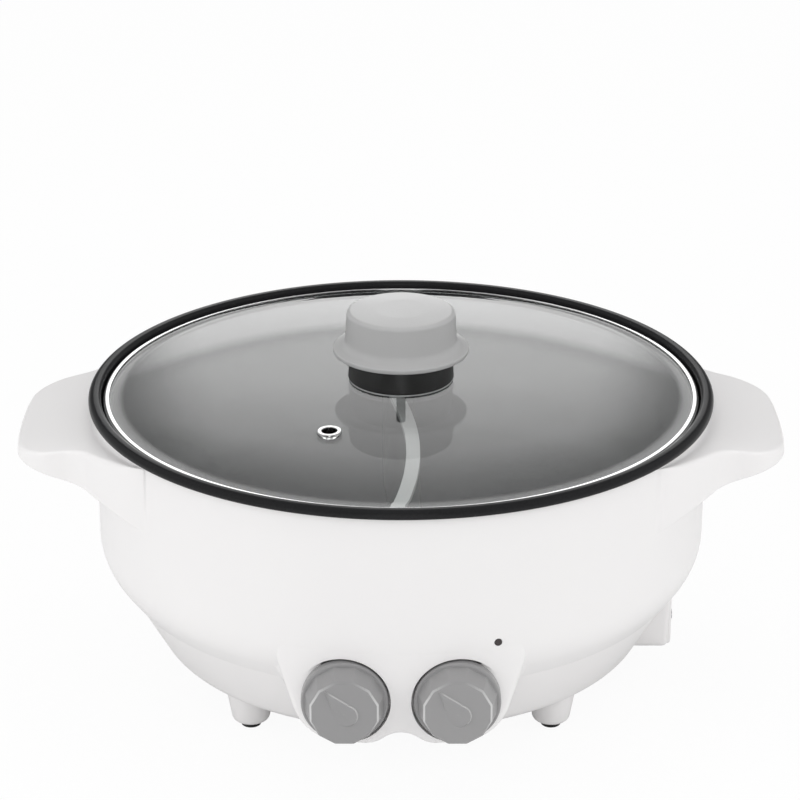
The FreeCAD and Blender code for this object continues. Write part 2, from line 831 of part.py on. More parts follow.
def base_screws():
    screws = []
    for name, x, y in LEGS:
        spot = (x + "leg_place", y + "leg_place")
        head = rod("screw_head_" + name, "screw_head", "screw_head_height",
                   spot + ("screw_head_seat - screw_head_height",))
        shank = rod("screw_shank_" + name, "screw_shank", "26", spot + ("screw_head_seat",))
        slot = block("screw_slot_" + name, ("2 * screw_head", "1", "1.2"),
                     (x + "leg_place - screw_head", y + "leg_place - 0.5",
                      "screw_head_seat - screw_head_height - 0.2"))
        screws.append(cut("base_screw_" + name, joined("screw_solid_" + name, [head, shank]), [slot]))
    keep(group("base_screw_group", screws), "base_screws")


def standoffs():
    posts = []
    for name, x, y in LEGS:
        spot = (x + "leg_place", y + "leg_place")
        low = "shield_height + shield_sheet"
        solid = hexagon("standoff_solid_" + name, "standoff_radius", "pot_floor - pot_wall - (%s)" % low,
                        spot + (low,))
        bore = rod("standoff_bore_" + name, "screw_shank", "12", spot + (low,))
        posts.append(cut("standoff_" + name, solid, [bore]))
    keep(group("standoff_group", posts), "standoffs")


def heat_shield():
    """Pressed dish between the elements and the base, clamped between standoffs and columns."""
    dish = turned("shield_dish", [
        ("shield_hole", "shield_height"),
        ("shield_radius + 8", "shield_height", "2"),
        ("shield_radius + 9", "shield_height + shield_rim"),
        ("shield_radius + 9 - shield_sheet", "shield_height + shield_rim"),
        ("shield_radius + 8 - shield_sheet", "shield_height + shield_sheet", "2 - shield_sheet"),
        ("shield_hole", "shield_height + shield_sheet"),
    ])
    holes = [rod("shield_bolt_" + name, "screw_shank + shank_clear", "20",
                 (x + "leg_place", y + "leg_place", "shield_height - 10")) for name, x, y in LEGS]
    keep(cut("shield_pierced", dish, holes), "heat_shield")


def heater_plate(name, sign):
    """D-shaped plate brazed under one half of the pot."""
    body = new_body("heater_" + name)
    reach = "sqrt(plate_radius^2 - plate_gap^2)"
    bend = "-plate_radius" if sign else "plate_radius"
    profile = outline(body, "heater_outline_" + name, "XY_Plane", [
        (sign + "plate_gap", "-" + reach, None, bend),
        (sign + "plate_gap", reach),
    ], HEATER_LOW)
    pad = body.newObject("PartDesign::Pad", "heater_pad_" + name)
    pad.Profile = profile
    bind(pad, "Length", "plate_thick")
    softened(body, "heater_corners_" + name, "12", lambda edge: upright_corner(edge) is not None)
    keep(body, "heater_plate_" + name)


def heating_tube(name, sign):
    """Tubular element bent to a loop under its plate, its two tails side by side."""
    body = new_body("element_" + name)
    level = "(%s) - tube_radius" % HEATER_LOW
    path = bent_path(body, "element_path_" + name, "XY_Plane", [
        (sign + "plate_gap", "-tail_gap"),
        (sign + "loop_near", "-tail_gap", "8"),
        (sign + "(loop_near + 4)", "-loop_half", "16"),
        (sign + "loop_far", "-loop_half", "loop_corner"),
        (sign + "loop_far", "loop_half", "loop_corner"),
        (sign + "(loop_near + 4)", "loop_half", "16"),
        (sign + "loop_near", "tail_gap", "8"),
        (sign + "plate_gap", "tail_gap"),
    ], level)
    ring = circle(body, "element_section_" + name, "YZ_Plane", "-tail_gap", level, "tube_radius",
                  sign + "plate_gap")
    pipe = body.newObject("PartDesign::AdditivePipe", "element_pipe_" + name)
    pipe.Profile = ring
    pipe.Spine = path
    keep(body, "heating_tube_" + name)


def cutout(name, sign):
    """Snap-disc over-heat cut-out pressed to the middle of the heater plate."""
    spot = (sign + "((loop_near + loop_far) / 2)", "0")
    can = rod("cutout_can_" + name, "cutout_radius", "cutout_height",
              spot + ("(%s) - cutout_height" % HEATER_LOW,))
    flange = rod("cutout_flange_" + name, "cutout_radius + 2.5", "1", spot + ("(%s) - 1" % HEATER_LOW,))
    keep(joined("cutout_" + name, [can, flange]), "overheat_cutout_" + name)


def thermal_fuse():
    middle = "(loop_near + loop_far) / 2"
    spot = ("(%s) - fuse_length / 2" % middle, "fuse_side", "(%s) - fuse_radius" % HEATER_LOW)
    keep(rod("fuse_can", "fuse_radius", "fuse_length"), "thermal_fuse", spot, OUTWARD)


def control(name, sign):
    """Rotary thermostat: ceramic body with a threaded bush that takes the dial's spindle."""
    body = block("control_box_" + name, ("control_wide", "control_deep", "control_tall"),
                 (sign + "dial_offset - control_wide / 2", "-plate_front + plate_sheet",
                  "dial_height - control_tall / 2"))
    bush = rod("control_bush_" + name, "bush_radius", "bush_length + plate_sheet",
               (sign + "dial_offset", "-plate_front + plate_sheet", "dial_height"), FORWARD)
    bore = rod("control_bore_" + name, "spindle_radius + spindle_clear", "bush_length + plate_sheet + 12",
               (sign + "dial_offset", "-plate_front + plate_sheet + 8", "dial_height"), FORWARD)
    tabs = [block("control_tab_%s_%d" % (name, row), ("tab_wide", "tab_long", "0.8"),
                  (sign + "dial_offset - tab_wide / 2", "-plate_front + plate_sheet + control_deep",
                   "dial_height - %d * control_tall / 4" % row)) for row in (0, 2)]
    keep(cut("control_" + name, joined("control_solid_" + name, [body, bush] + tabs), [bore]),
         "thermostat_" + name)


def bush_nuts():
    nuts = []
    for name, sign in SIDES:
        spot = (sign + "dial_offset", "-plate_front", "dial_height")
        solid = hexagon("nut_solid_" + name, "nut_size", "nut_height", spot, FORWARD)
        bore = rod("nut_bore_" + name, "bush_radius", "20", (spot[0], "-plate_front + 5", spot[2]), FORWARD)
        nuts.append(cut("nut_" + name, solid, [bore]))
    keep(group("nut_group", nuts), "bush_nuts")


def control_bracket():
    """Sheet plate behind the console that carries both thermostats and the lamp."""
    plate = padded("bracket_plate", "XZ_Plane", [
        ("-plate_half", "plate_low", "4"),
        ("plate_half", "plate_low", "4"),
        ("plate_half", "dial_height + 20"),
        ("lamp_side + 5", "lamp_height - 6", "3"),
        ("lamp_side + 5", "plate_high", "3"),
        ("-plate_half", "plate_high", "4"),
    ], "plate_sheet", "plate_front - plate_sheet")
    holes = [rod("bracket_hole_" + name, "bush_radius", "10",
                 (sign + "dial_offset", "-plate_front + 5", "dial_height"), FORWARD) for name, sign in SIDES]
    holes += [rod("bracket_screw_hole_" + name, "small_screw", "10", (x, "-plate_front + 5", z), FORWARD)
              for name, x, z in post_spots()]
    holes.append(rod("bracket_lamp_hole", "lamp_window + 0.5", "10",
                     ("lamp_side", "-plate_front + 5", "lamp_height"), FORWARD))
    keep(cut("bracket", plate, holes), "control_bracket")


def bracket_screws():
    screws = []
    for name, x, z in post_spots():
        head = rod("bracket_head_" + name, "small_screw * 1.9", "1.8",
                   (x, "-plate_front + plate_sheet + 1.8", z), FORWARD)
        shank = rod("bracket_shank_" + name, "small_screw", "plate_sheet + 7",
                    (x, "-plate_front + plate_sheet", z), FORWARD)
        screws.append(joined("bracket_screw_" + name, [head, shank]))
    keep(group("bracket_screw_group", screws), "bracket_screws")


def indicator():
    """Dark window in the console with a small lamp behind it."""
    front = "sqrt(bowl_radius^2 - lamp_side^2)"
    base = "plate_front + 2.6"
    lens = rod("window_rod", "lamp_window - 0.05", "(%s) - (%s)" % (front, base),
               ("lamp_side", "-(%s)" % base, "lamp_height"), FORWARD)
    keep(lens, "indicator_window", ("lamp_side", "-(%s)" % base, "lamp_height"), FORWARD)
    bulb = rod("lamp_bulb", "1.5", "3.8", ("lamp_side", "-plate_front + plate_sheet", "lamp_height"), FORWARD)
    foot = rod("lamp_foot", "lamp_window + 0.5", "plate_sheet + 4",
               ("lamp_side", "-plate_front + plate_sheet + 4", "lamp_height"), FORWARD)
    keep(joined("lamp", [bulb, foot]), "indicator_lamp")


GRIP_SIDES = 12
DIAL_FACE = "dial_gap + dial_length - pointer_rise"


def dial_grip(name):
    """Tapering grip with flat sides, so that wet fingers hold it."""
    corners = []
    for side in range(GRIP_SIDES):
        angle = "%d deg" % (360 * (side + 0.5) / GRIP_SIDES)
        corners.append(("dial_grip_radius * cos(%s)" % angle, "dial_grip_radius * sin(%s)" % angle))
    grip = padded("dial_grip_" + name, "XY_Plane", corners, "(%s) - dial_skirt + 1" % DIAL_FACE,
                  "dial_skirt - 1")
    taper = "-atan((dial_grip_radius - dial_face_radius) / (%s - dial_skirt))" % DIAL_FACE
    bind(grip.Tip, "TaperAngle", taper)
    return grip


def dial_pointer(name):
    """Raised drop on the dial's face whose tip points at the setting."""
    lean = "(pointer_round / (pointer_reach + pointer_back))"
    side = "pointer_round * sqrt(1 - %s^2)" % lean
    high = "pointer_round * %s - pointer_back" % lean
    drop = padded("dial_pointer_" + name, "XY_Plane", [
        ("0", "pointer_reach"),
        ("-" + side, high, None, "pointer_round"),
        ("0", "-pointer_back - pointer_round", None, "pointer_round"),
        (side, high),
    ], "pointer_rise + 1", "(%s) - 1" % DIAL_FACE)
    return place(drop, ("0", "0", "0"), ((0, 0, 1), "pointer_turn"))


def dial(name, sign):
    """Dial cap: round skirt, tapering grip, hollow back and a hub with a D-shaped bore."""
    skirt = turned("dial_skirt_" + name, [
        ("0", "dial_gap"),
        ("dial_skirt_radius", "dial_gap"),
        ("dial_skirt_radius", "dial_skirt", "1"),
        ("0", "dial_skirt"),
    ])
    cap = joined("dial_solid_" + name, [skirt, dial_grip(name), dial_pointer(name)])
    hollow = turned("dial_hollow_" + name, [
        ("dial_hub", "0"),
        ("dial_skirt_radius - 1.3 * dial_wall", "0"),
        ("dial_face_radius - 1.3 * dial_wall", "dial_gap + dial_length - 2 * dial_wall"),
        ("dial_hub", "dial_gap + dial_length - 2 * dial_wall"),
    ])
    bore = rod("dial_bore_" + name, "spindle_radius", "dial_length - dial_wall - 1", ("0", "0", "0"))
    flat = block("dial_flat_" + name, ("10", "10", "40"), ("-5", "spindle_flat", "0"))
    keyed = cut("dial_key_" + name, bore, [flat])
    item = cut("dial_cap_" + name, cap, [hollow, keyed])
    spot = (sign + "dial_offset", "-pocket_floor", "dial_height")
    keep(item, "dial_" + name, spot, FORWARD)
    shaft = rod("spindle_rod_" + name, "spindle_radius", "dial_length - dial_wall - 1 + 14",
                ("0", "0", "-14"))
    relief = block("spindle_flat_" + name, ("10", "10", "40"), ("-5", "spindle_flat", "0"))
    keep(cut("spindle_cut_" + name, shaft, [relief]), "spindle_" + name, spot, FORWARD)
    ring = cut("clip_ring_" + name, rod("clip_outer_" + name, "dial_hub + 0.7", "5", ("0", "0", "4")), [
        rod("clip_inner_" + name, "dial_hub", "5", ("0", "0", "4")),
        block("clip_gap_" + name, ("4", "10", "6"), ("-2", "0", "3.5")),
    ])
    keep(ring, "dial_clip_" + name, spot, FORWARD)


def dome(name, thick, out):
    """Lens-shaped glass blank with a flat edge, used whole and as a limit."""
    low = "(%s) - (%s)" % (GLASS_EDGE, thick)
    return turned(name, [
        ("0", "(%s) + dome_rise" % low, None, "-(%s)" % DOME),
        ("dome_radius", low),
        ("lid_radius - band_sheet - glass_clear - (%s)" % out, low),
        ("lid_radius - band_sheet - glass_clear - (%s)" % out, GLASS_EDGE),
        ("dome_radius", GLASS_EDGE, None, "(%s)" % DOME),
        ("0", GLASS_TOP),
    ])


def lid_glass():
    blank = dome("glass_blank", GLASS, "0")
    post = rod("glass_post_hole", "knob_bore + 1.5", "40", ("0", "0", "flange_top - 20"))
    inward = "(1 - vent_drill / (%s))" % DOME
    spot = ("-vent_side * " + inward, "-vent_front * " + inward, "(%s) - vent_drill" % VENT_TOP)
    vent = rod("glass_vent_hole", "vent_hole + vent_sheet + glass_clear", "2 * vent_drill", spot,
               (VENT_AXIS, VENT_ANGLE))
    keep(cut("glass_drilled", blank, [post, vent]), "lid_glass")


VENT_REACH = math.hypot(SIZES["vent_side"], SIZES["vent_front"])
VENT_AXIS = (SIZES["vent_front"] / VENT_REACH, -SIZES["vent_side"] / VENT_REACH, 0)
VENT_ANGLE = "asin(sqrt(vent_side^2 + vent_front^2) / (%s)) / 1deg" % DOME
VENT_TOP = "(%s) - (vent_side^2 + vent_front^2) / (2 * (%s))" % (GLASS_TOP, DOME)


def vent_eyelet():
    """Steel eyelet riveted through the glass."""
    ring = turned("eyelet", [
        ("vent_hole", "-(%s) - vent_lip - glass_clear" % GLASS, "0.3"),
        ("vent_ring - 1", "-(%s) - vent_lip - glass_clear" % GLASS, "0.3"),
        ("vent_ring - 1", "-(%s) - glass_clear" % GLASS),
        ("vent_hole + vent_sheet", "-(%s) - glass_clear" % GLASS),
        ("vent_hole + vent_sheet", "0"),
        ("vent_ring", "0"),
        ("vent_ring", "vent_lip", "0.5"),
        ("vent_hole", "vent_lip", "0.3"),
    ])
    keep(ring, "vent_eyelet", ("-vent_side", "-vent_front", VENT_TOP), (VENT_AXIS, VENT_ANGLE))


def lid_rim():
    """Steel band folded round the edge of the glass."""
    low = "flange_top - lid_top_drop - band_height"
    high = "flange_top - lid_top_drop"
    keep(turned("band", [
        ("lid_radius - band_width", low),
        ("lid_radius - band_bevel", low),
        ("lid_radius", "%s + band_bevel" % low),
        ("lid_radius", "%s - band_bevel" % high),
        ("lid_radius - band_bevel", high),
        ("lid_radius - band_width", high),
        ("lid_radius - band_width", "(%s) - band_sheet" % high),
        ("lid_radius - band_sheet", "(%s) - band_sheet" % high),
        ("lid_radius - band_sheet", "(%s) + band_sheet" % low),
        ("lid_radius - band_width", "(%s) + band_sheet" % low),
    ]), "lid_rim")


def knob():
    """Collar, cap, gasket, washers and screw in the middle of the lid."""
    base = "(%s) + gasket_height" % GLASS_TOP
    keep(turned("gasket", [
        ("collar_radius - 5", GLASS_TOP),
        ("collar_radius - 0.4", GLASS_TOP),
        ("collar_radius - 0.4", base),
        ("collar_radius - 5", base),
    ]), "knob_gasket")
    keep(turned("collar", [
        ("knob_bore + 0.3", "(%s) - gasket_height" % base),
        ("knob_boss", "(%s) - gasket_height" % base),
        ("knob_boss", "(%s) + collar_height - collar_wall" % base),
        ("collar_radius - collar_wall - 1", "(%s) + collar_height - collar_wall" % base),
        ("collar_radius - collar_wall", base),
        ("collar_radius", base, "1"),
        ("collar_radius - 1", "(%s) + collar_height" % base),
        ("knob_bore + 0.3", "(%s) + collar_height" % base),
    ]), "knob_collar")
    brim = "(%s) + collar_height" % base
    keep(turned("cap", [
        ("knob_bore", brim),
        ("knob_boss", brim),
        ("knob_boss", "(%s) + cap_height - collar_wall" % brim),
        ("cap_radius - collar_wall", "(%s) + cap_height - collar_wall" % brim, "2"),
        ("cap_radius - collar_wall", brim),
        ("brim_radius", brim, "1.2"),
        ("brim_radius", "(%s) + brim_height" % brim, "1.2"),
        ("cap_radius", "(%s) + brim_height" % brim, "1.5"),
        ("cap_radius", "(%s) + cap_height" % brim, "1.5"),
        ("cap_radius - 3", "(%s) + cap_height" % brim, None, CAP_DOME),
        ("0", "(%s) + cap_height + cap_dome" % brim),
        ("0", "(%s) + cap_height - collar_wall" % brim),
        ("knob_bore", "(%s) + cap_height - collar_wall" % brim),
    ]), "knob_cap")
    under = "(%s) - (%s) - glass_clear" % (GLASS_TOP, GLASS)
    keep(turned("soft_washer", [
        ("knob_bore", "(%s) - 1.5" % under),
        ("knob_bore + 7.5", "(%s) - 1.5" % under),
        ("knob_bore + 7.5", under),
        ("knob_bore + 1.4", under),
        ("knob_bore + 1.4", GLASS_TOP),
        ("knob_bore", GLASS_TOP),
    ]), "glass_bush")
    keep(turned("washer", [
        ("knob_bore", "(%s) - 2.5" % under),
        ("knob_bore + 6.5", "(%s) - 2.5" % under),
        ("knob_bore + 6.5", "(%s) - 1.5" % under),
        ("knob_bore", "(%s) - 1.5" % under),
    ]), "knob_washer")
    keep(turned("knob_bolt", [
        ("0", "(%s) - 5.3" % under),
        ("knob_bore + 2.6", "(%s) - 5.3" % under, "1.6"),
        ("knob_bore + 2.6", "(%s) - 2.5" % under),
        ("knob_bore", "(%s) - 2.5" % under),
        ("knob_bore", "(%s) + 12" % brim, "0.6"),
        ("0", "(%s) + 12" % brim),
    ]), "knob_screw")


def inlet_socket():
    """Black inlet moulding: block in the box, flange outside and a deep recess for the coupler."""
    body = block("socket_block", ("socket_deep", "socket_wide", "socket_tall"),
                 ("inlet_face - socket_deep", "-socket_wide / 2", "socket_height - socket_tall / 2"))
    flange = block("socket_plate", ("socket_flange", "socket_flange_wide", "socket_flange_tall"),
                   ("inlet_face", "-socket_flange_wide / 2", "socket_height - socket_flange_tall / 2"))
    recess = block("socket_recess", ("recess_deep + 10", "recess_wide", "recess_tall"),
                   ("inlet_face + socket_flange - recess_deep", "-recess_wide / 2",
                    "socket_height - recess_tall / 2"))
    tools = [recess]
    for name, y, z in pin_spots():
        tools.append(block("pin_slot_" + name, ("40", "pin_thick", "pin_wide"),
                           ("inlet_face - socket_deep - 10", "(%s) - pin_thick / 2" % y,
                            "(%s) - pin_wide / 2" % z)))
    tools += [rod("flange_hole_" + name, "small_screw", "20",
                  ("inlet_face - 10", sign + "flange_screw_side",
                   "socket_height"), OUTWARD) for name, sign in SIDES]
    keep(cut("socket", joined("socket_solid", [body, flange]), tools), "inlet_socket")


def pin_spots():
    return [("live", "pin_spread", "socket_height - pin_raise"),
            ("neutral", "-pin_spread", "socket_height - pin_raise"),
            ("earth", "0", "socket_height + pin_raise")]


def inlet_pins():
    pins = [block("pin_" + name, ("pin_long", "pin_thick", "pin_wide"),
                  ("inlet_face - socket_deep - 6", "(%s) - pin_thick / 2" % y, "(%s) - pin_wide / 2" % z))
            for name, y, z in pin_spots()]
    keep(group("pin_group", pins), "inlet_pins")


def inlet_screws():
    screws = []
    for name, sign in SIDES:
        y = sign + "flange_screw_side"
        head = rod("inlet_head_" + name, "small_screw * 1.8", "1.2",
                   ("inlet_face + socket_flange", y, "socket_height"), OUTWARD)
        shank = rod("inlet_shank_" + name, "small_screw", "socket_flange + 8",
                    ("inlet_face - 8", y, "socket_height"), OUTWARD)
        screws.append(joined("inlet_screw_" + name, [head, shank]))
    keep(group("inlet_screw_group", screws), "inlet_screws")


def terminal_block():
    base = block("terminal_solid", ("block_deep", "block_long", "block_tall"),
                 ("block_side - block_deep / 2", "-block_long / 2", "cover_bottom + shell_wall"))
    wells = [rod("terminal_well_%d" % row, "2.2", "5",
                 ("block_side", "%d * block_long / 3.3" % row, "cover_bottom + shell_wall + block_tall - 4"))
             for row in (-1, 0, 1)]
    keep(cut("terminal", base, wells), "terminal_block")


def main():
    fill_sheet()
    pot()
    divider_wall()
    flange_seal()
    body_shell()
    base_cover()
    foot_pads()
    base_screws()
    standoffs()
    heat_shield()
    for name, sign in SIDES:
        heater_plate(name, sign)
        heating_tube(name, sign)
        cutout(name, sign)
        control(name, sign)
        dial(name, sign)
    thermal_fuse()
    bush_nuts()
    control_bracket()
    bracket_screws()
    indicator()
    lid_glass()
    vent_eyelet()
    lid_rim()
    knob()
    inlet_socket()
    inlet_pins()
    inlet_screws()
    terminal_block()
    doc.recompute()
    check()
    for item in NODES:
        item.Shape.exportStep("parts/%s.step" % item.Label)


def check():
    for item in doc.Objects:
        if "Invalid" in item.State or "Error" in item.State:
            raise RuntimeError("failed: %s %s" % (item.Name, item.State))
    for item in NODES:
        if item.Shape.isNull() or not item.Shape.isValid():
            raise RuntimeError("bad shape: %s" % item.Label)


main()
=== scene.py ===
# %% [markdown]
# A divided electric hot pot with a glass lid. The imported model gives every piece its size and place.
# This script dresses it: it loads that model as a fixed frame, replaces the visible mouldings with
# finer surfaces that are worked out with numpy, and gives every piece a procedural finish.

# %% Load the frame
import json
import math

import bmesh
import bpy
import numpy as np
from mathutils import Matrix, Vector


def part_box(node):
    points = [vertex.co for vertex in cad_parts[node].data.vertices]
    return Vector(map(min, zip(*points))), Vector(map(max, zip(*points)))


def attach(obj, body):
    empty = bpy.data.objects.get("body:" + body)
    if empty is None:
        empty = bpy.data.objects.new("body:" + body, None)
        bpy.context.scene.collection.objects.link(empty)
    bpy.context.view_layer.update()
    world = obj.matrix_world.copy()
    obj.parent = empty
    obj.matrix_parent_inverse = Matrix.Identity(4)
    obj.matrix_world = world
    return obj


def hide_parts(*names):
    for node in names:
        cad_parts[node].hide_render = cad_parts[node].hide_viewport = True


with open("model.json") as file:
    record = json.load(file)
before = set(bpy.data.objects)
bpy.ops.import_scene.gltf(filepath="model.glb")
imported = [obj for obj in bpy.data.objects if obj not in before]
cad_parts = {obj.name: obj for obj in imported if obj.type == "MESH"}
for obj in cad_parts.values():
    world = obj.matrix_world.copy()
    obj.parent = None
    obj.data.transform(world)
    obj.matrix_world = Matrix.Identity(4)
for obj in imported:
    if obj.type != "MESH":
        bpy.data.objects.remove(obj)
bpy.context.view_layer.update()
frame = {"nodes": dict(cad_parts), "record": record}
nodes = frame["nodes"]
MM = 0.001
print("nodes", len(nodes))

# %% [markdown]
# All round pieces share the pot's upright axis, and both dials share one height. These places are
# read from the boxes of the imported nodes, so the dress follows the frame.

# %% Places read from the frame
pot_low, pot_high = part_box("pot")
axis_y = (pot_low.y + pot_high.y) / 2 / MM
dial_low, dial_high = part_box("dial_right")
dial_side = (dial_low.x + dial_high.x) / 2 / MM
dial_height = (dial_low.z + dial_high.z) / 2 / MM
dial_back = dial_high.y / MM
flange_top = pot_high.z / MM
print("axis", round(axis_y, 3), "dials", round(dial_side, 2), round(dial_height, 2))

# %% [markdown]
# The camera stands 1.6 m from the middle of the pot's flange and looks down at 21.8 degrees, which
# is where the ellipses of the flange and the seam in the photograph put it. A small shift frames it.

# %% Camera
scene = bpy.context.scene
camera_reach = 1.6
camera_rise = math.radians(21.8)
camera_data = bpy.data.cameras.new("camera")
camera_data.lens = 133.5
camera_data.sensor_width = 36
camera_data.shift_x = -0.00125
camera_data.shift_y = -0.0201
camera = bpy.data.objects.new("camera", camera_data)
camera.location = (0, axis_y * MM - camera_reach * math.cos(camera_rise),
                   flange_top * MM + camera_reach * math.sin(camera_rise))
camera.rotation_euler = (math.pi / 2 - camera_rise, 0, 0)
scene.collection.objects.link(camera)
scene.camera = camera
scene.view_settings.view_transform = "Standard"
print("camera at", [round(value, 3) for value in camera.location])

# %% [markdown]
# Materials are node trees. This helper makes one with a Principled shader, sets plain numbers on its
# own sockets, and hands back a small tool for adding and joining nodes.


# %% A helper for node trees
def add_node(tree, kind, **values):
    """A node of a kind, with its settings and its input numbers given by name."""
    node = tree.nodes.new(kind)
    for name, value in values.items():
        if hasattr(node, name):
            setattr(node, name, value)
        else:
            node.inputs[name.replace("_", " ")].default_value = value
    return node


def join(tree, source, output, target, entry):
    """A link from an output of one node to an input of another."""
    tree.links.new(source.outputs[output], target.inputs[entry])


def new_material(name, colour, roughness, **sockets):
    """A material with a Principled shader; returns the material, its tree and the shader."""
    material = bpy.data.materials.new(name)
    material.use_nodes = True
    tree = material.node_tree
    shader = tree.nodes["Principled BSDF"]
    shader.inputs["Base Color"].default_value = (*colour, 1)
    shader.inputs["Roughness"].default_value = roughness
    for socket, value in sockets.items():
        shader.inputs[socket.replace("_", " ")].default_value = value
    return material, tree, shader


def pattern(tree, scale, detail=3, stretch=(1, 1, 1)):
    """Noise on Object coordinates, finer with a larger scale, stretched along an axis on demand."""
    place = add_node(tree, "ShaderNodeTexCoord")
    turn = add_node(tree, "ShaderNodeMapping", Scale=stretch)
    noise = add_node(tree, "ShaderNodeTexNoise", Scale=scale, Detail=detail)
    join(tree, place, "Object", turn, "Vector")
    join(tree, turn, "Vector", noise, "Vector")
    return noise


def vary(tree, shader, noise, socket, low, high):
    """Let the noise move a number on the shader between two values."""
    ramp = add_node(tree, "ShaderNodeMapRange", To_Min=low, To_Max=high)
    join(tree, noise, "Fac", ramp, "Value")
    join(tree, ramp, "Result", shader, socket)


def tint(tree, shader, noise, first, second):
    """Let the noise move the base colour between two near colours."""
    ramp = add_node(tree, "ShaderNodeValToRGB")
    ramp.color_ramp.elements[0].position = 0.35
    ramp.color_ramp.elements[1].position = 0.65
    ramp.color_ramp.elements[0].color = (*first, 1)
    ramp.color_ramp.elements[1].color = (*second, 1)
    join(tree, noise, "Fac", ramp, "Fac")
    join(tree, ramp, "Color", shader, "Base Color")


def roughen(tree, shader, noise, depth):
    """Bump from a noise, with its depth in metres."""
    bump = add_node(tree, "ShaderNodeBump", Distance=depth)
    join(tree, noise, "Fac", bump, "Height")
    join(tree, bump, "Normal", shader, "Normal")


def second_colour(tree, shader, share, output, colour):
    """Mix a colour over the base colour that is there already, by a share from 0 to 1."""
    mix = add_node(tree, "ShaderNodeMix", data_type="RGBA")
    factor, under, over, result = 0, 6, 7, 2
    join(tree, share, output, mix, factor)
    tree.links.new(shader.inputs["Base Color"].links[0].from_socket, mix.inputs[under])
    mix.inputs[over].default_value = (*colour, 1)
    join(tree, mix, result, shader, "Base Color")


def grey(level):
    """A neutral colour."""
    return (level, level, level)


# %% [markdown]
# The shell is a glossy white moulding. Its gloss comes from a clear top layer over a slightly warm
# white, and a faint unevenness of its surface is what makes moulded plastic look moulded. Each row
# gives a moulding two near colours, a roughness, the depth of that unevenness and the top layer.
# The dials also get a painted highlight: a paler colour on their edges, which follows a mark on their mesh.


# %% Mouldings
def moulded(name, first, second, roughness, wave_depth, coat):
    """Plastic from a mould: two near colours in clouds, a wavy surface and a clear top layer."""
    material, tree, shader = new_material(name, first, roughness)
    shader.inputs["Coat Weight"].default_value = coat
    shader.inputs["Coat Roughness"].default_value = roughness * 0.4
    shader.inputs["IOR"].default_value = 1.5
    tint(tree, shader, pattern(tree, 9, 2), first, second)
    vary(tree, shader, pattern(tree, 60, 4), "Roughness", roughness * 0.85, roughness * 1.15)
    roughen(tree, shader, pattern(tree, 700, 2), wave_depth)
    return material


def paint_highlight_edges(material, pale):
    """Painted highlight: let the mesh attribute called pale move the colour of a moulding towards a paler
    one.
    """
    tree = material.node_tree
    shader = tree.nodes["Principled BSDF"]
    mark = add_node(tree, "ShaderNodeAttribute", attribute_name="pale")
    second_colour(tree, shader, mark, "Fac", pale)


finishes = {}
mouldings = [
    ("white_shell", (0.875, 0.862, 0.862), (0.885, 0.874, 0.872), 0.32, 0.00002, 0.35),
    ("white_cover", (0.850, 0.838, 0.836), (0.865, 0.852, 0.850), 0.36, 0.00003, 0.3),
    ("grey_satin", grey(0.430), grey(0.450), 0.38, 0.00004, 0.15),
    ("dial_grey", (0.290, 0.287, 0.290), (0.310, 0.307, 0.309), 0.36, 0.00004, 0.2),
    ("black_plastic", grey(0.014), grey(0.02), 0.35, 0.00004, 0.1),
    ("dark_window", (0.02, 0.016, 0.016), (0.03, 0.02, 0.02), 0.15, 0.00001, 0.3),
    ("lamp_red", (0.45, 0.04, 0.03), (0.52, 0.05, 0.03), 0.2, 0.00001, 0.4),
    ("ceramic", (0.70, 0.67, 0.60), (0.76, 0.73, 0.67), 0.5, 0.00008, 0.1),
]
for name, first, second, roughness, wave_depth, coat in mouldings:
    finishes[name] = moulded(name, first, second, roughness, wave_depth, coat)
# Painted highlight: the dials' edges are painted a paler grey.
paint_highlight_edges(finishes["dial_grey"], grey(0.62))
print("mouldings", len(finishes))

# %% [markdown]
# The pot carries a sprayed non-stick coat: nearly black, satin, with a fine grain that breaks up the
# highlights. Its roll at the rim catches a soft grey light. On the crest of the dividing wall the
# coat is coloured light grey near its top. The coat's colour depends on the height there.


# %% Non-stick coat, rubber and silicone
def sprayed_coat():
    """Nearly black satin paint with a very fine grain."""
    material, tree, shader = new_material("nonstick", (0.017, 0.017, 0.018), 0.33)
    shader.inputs["Specular IOR Level"].default_value = 0.16
    grain = pattern(tree, 1400, 4)
    tint(tree, shader, grain, (0.012, 0.012, 0.013), (0.018, 0.018, 0.019))
    vary(tree, shader, pattern(tree, 90, 3), "Roughness", 0.28, 0.38)
    roughen(tree, shader, grain, 0.000002)
    return material


def soft_rubber(name, colour, roughness, through=0.0):
    """Matt rubber with a fine grain; some light may pass through it."""
    material, tree, shader = new_material(name, colour, roughness)
    shader.inputs["Transmission Weight"].default_value = through
    lighter = tuple(channel * 1.25 for channel in colour)
    tint(tree, shader, pattern(tree, 150, 5), colour, lighter)
    roughen(tree, shader, pattern(tree, 900, 4), 0.0001)
    return material


def grey_crest(height, deep):
    """The coat with its top coloured light grey, down to a depth below a height, in metres.

    The share of grey rises from 0 to 1 over 0.8 mm, and a noise makes its border uneven.
    """
    material = sprayed_coat()
    material.name = "nonstick_crest"
    tree = material.node_tree
    shader = tree.nodes["Principled BSDF"]
    place = add_node(tree, "ShaderNodeTexCoord")
    split = add_node(tree, "ShaderNodeSeparateXYZ")
    join(tree, place, "Object", split, "Vector")
    uneven = add_node(tree, "ShaderNodeMath", operation="MULTIPLY_ADD")
    uneven.inputs[1].default_value = 0.0006
    join(tree, pattern(tree, 300, 4), "Fac", uneven, 0)
    join(tree, split, "Z", uneven, 2)
    border = height - deep
    share = add_node(tree, "ShaderNodeMapRange", From_Min=border, From_Max=border + 0.0008)
    join(tree, uneven, "Value", share, "Value")
    second_colour(tree, shader, share, "Result", grey(0.42))
    return material


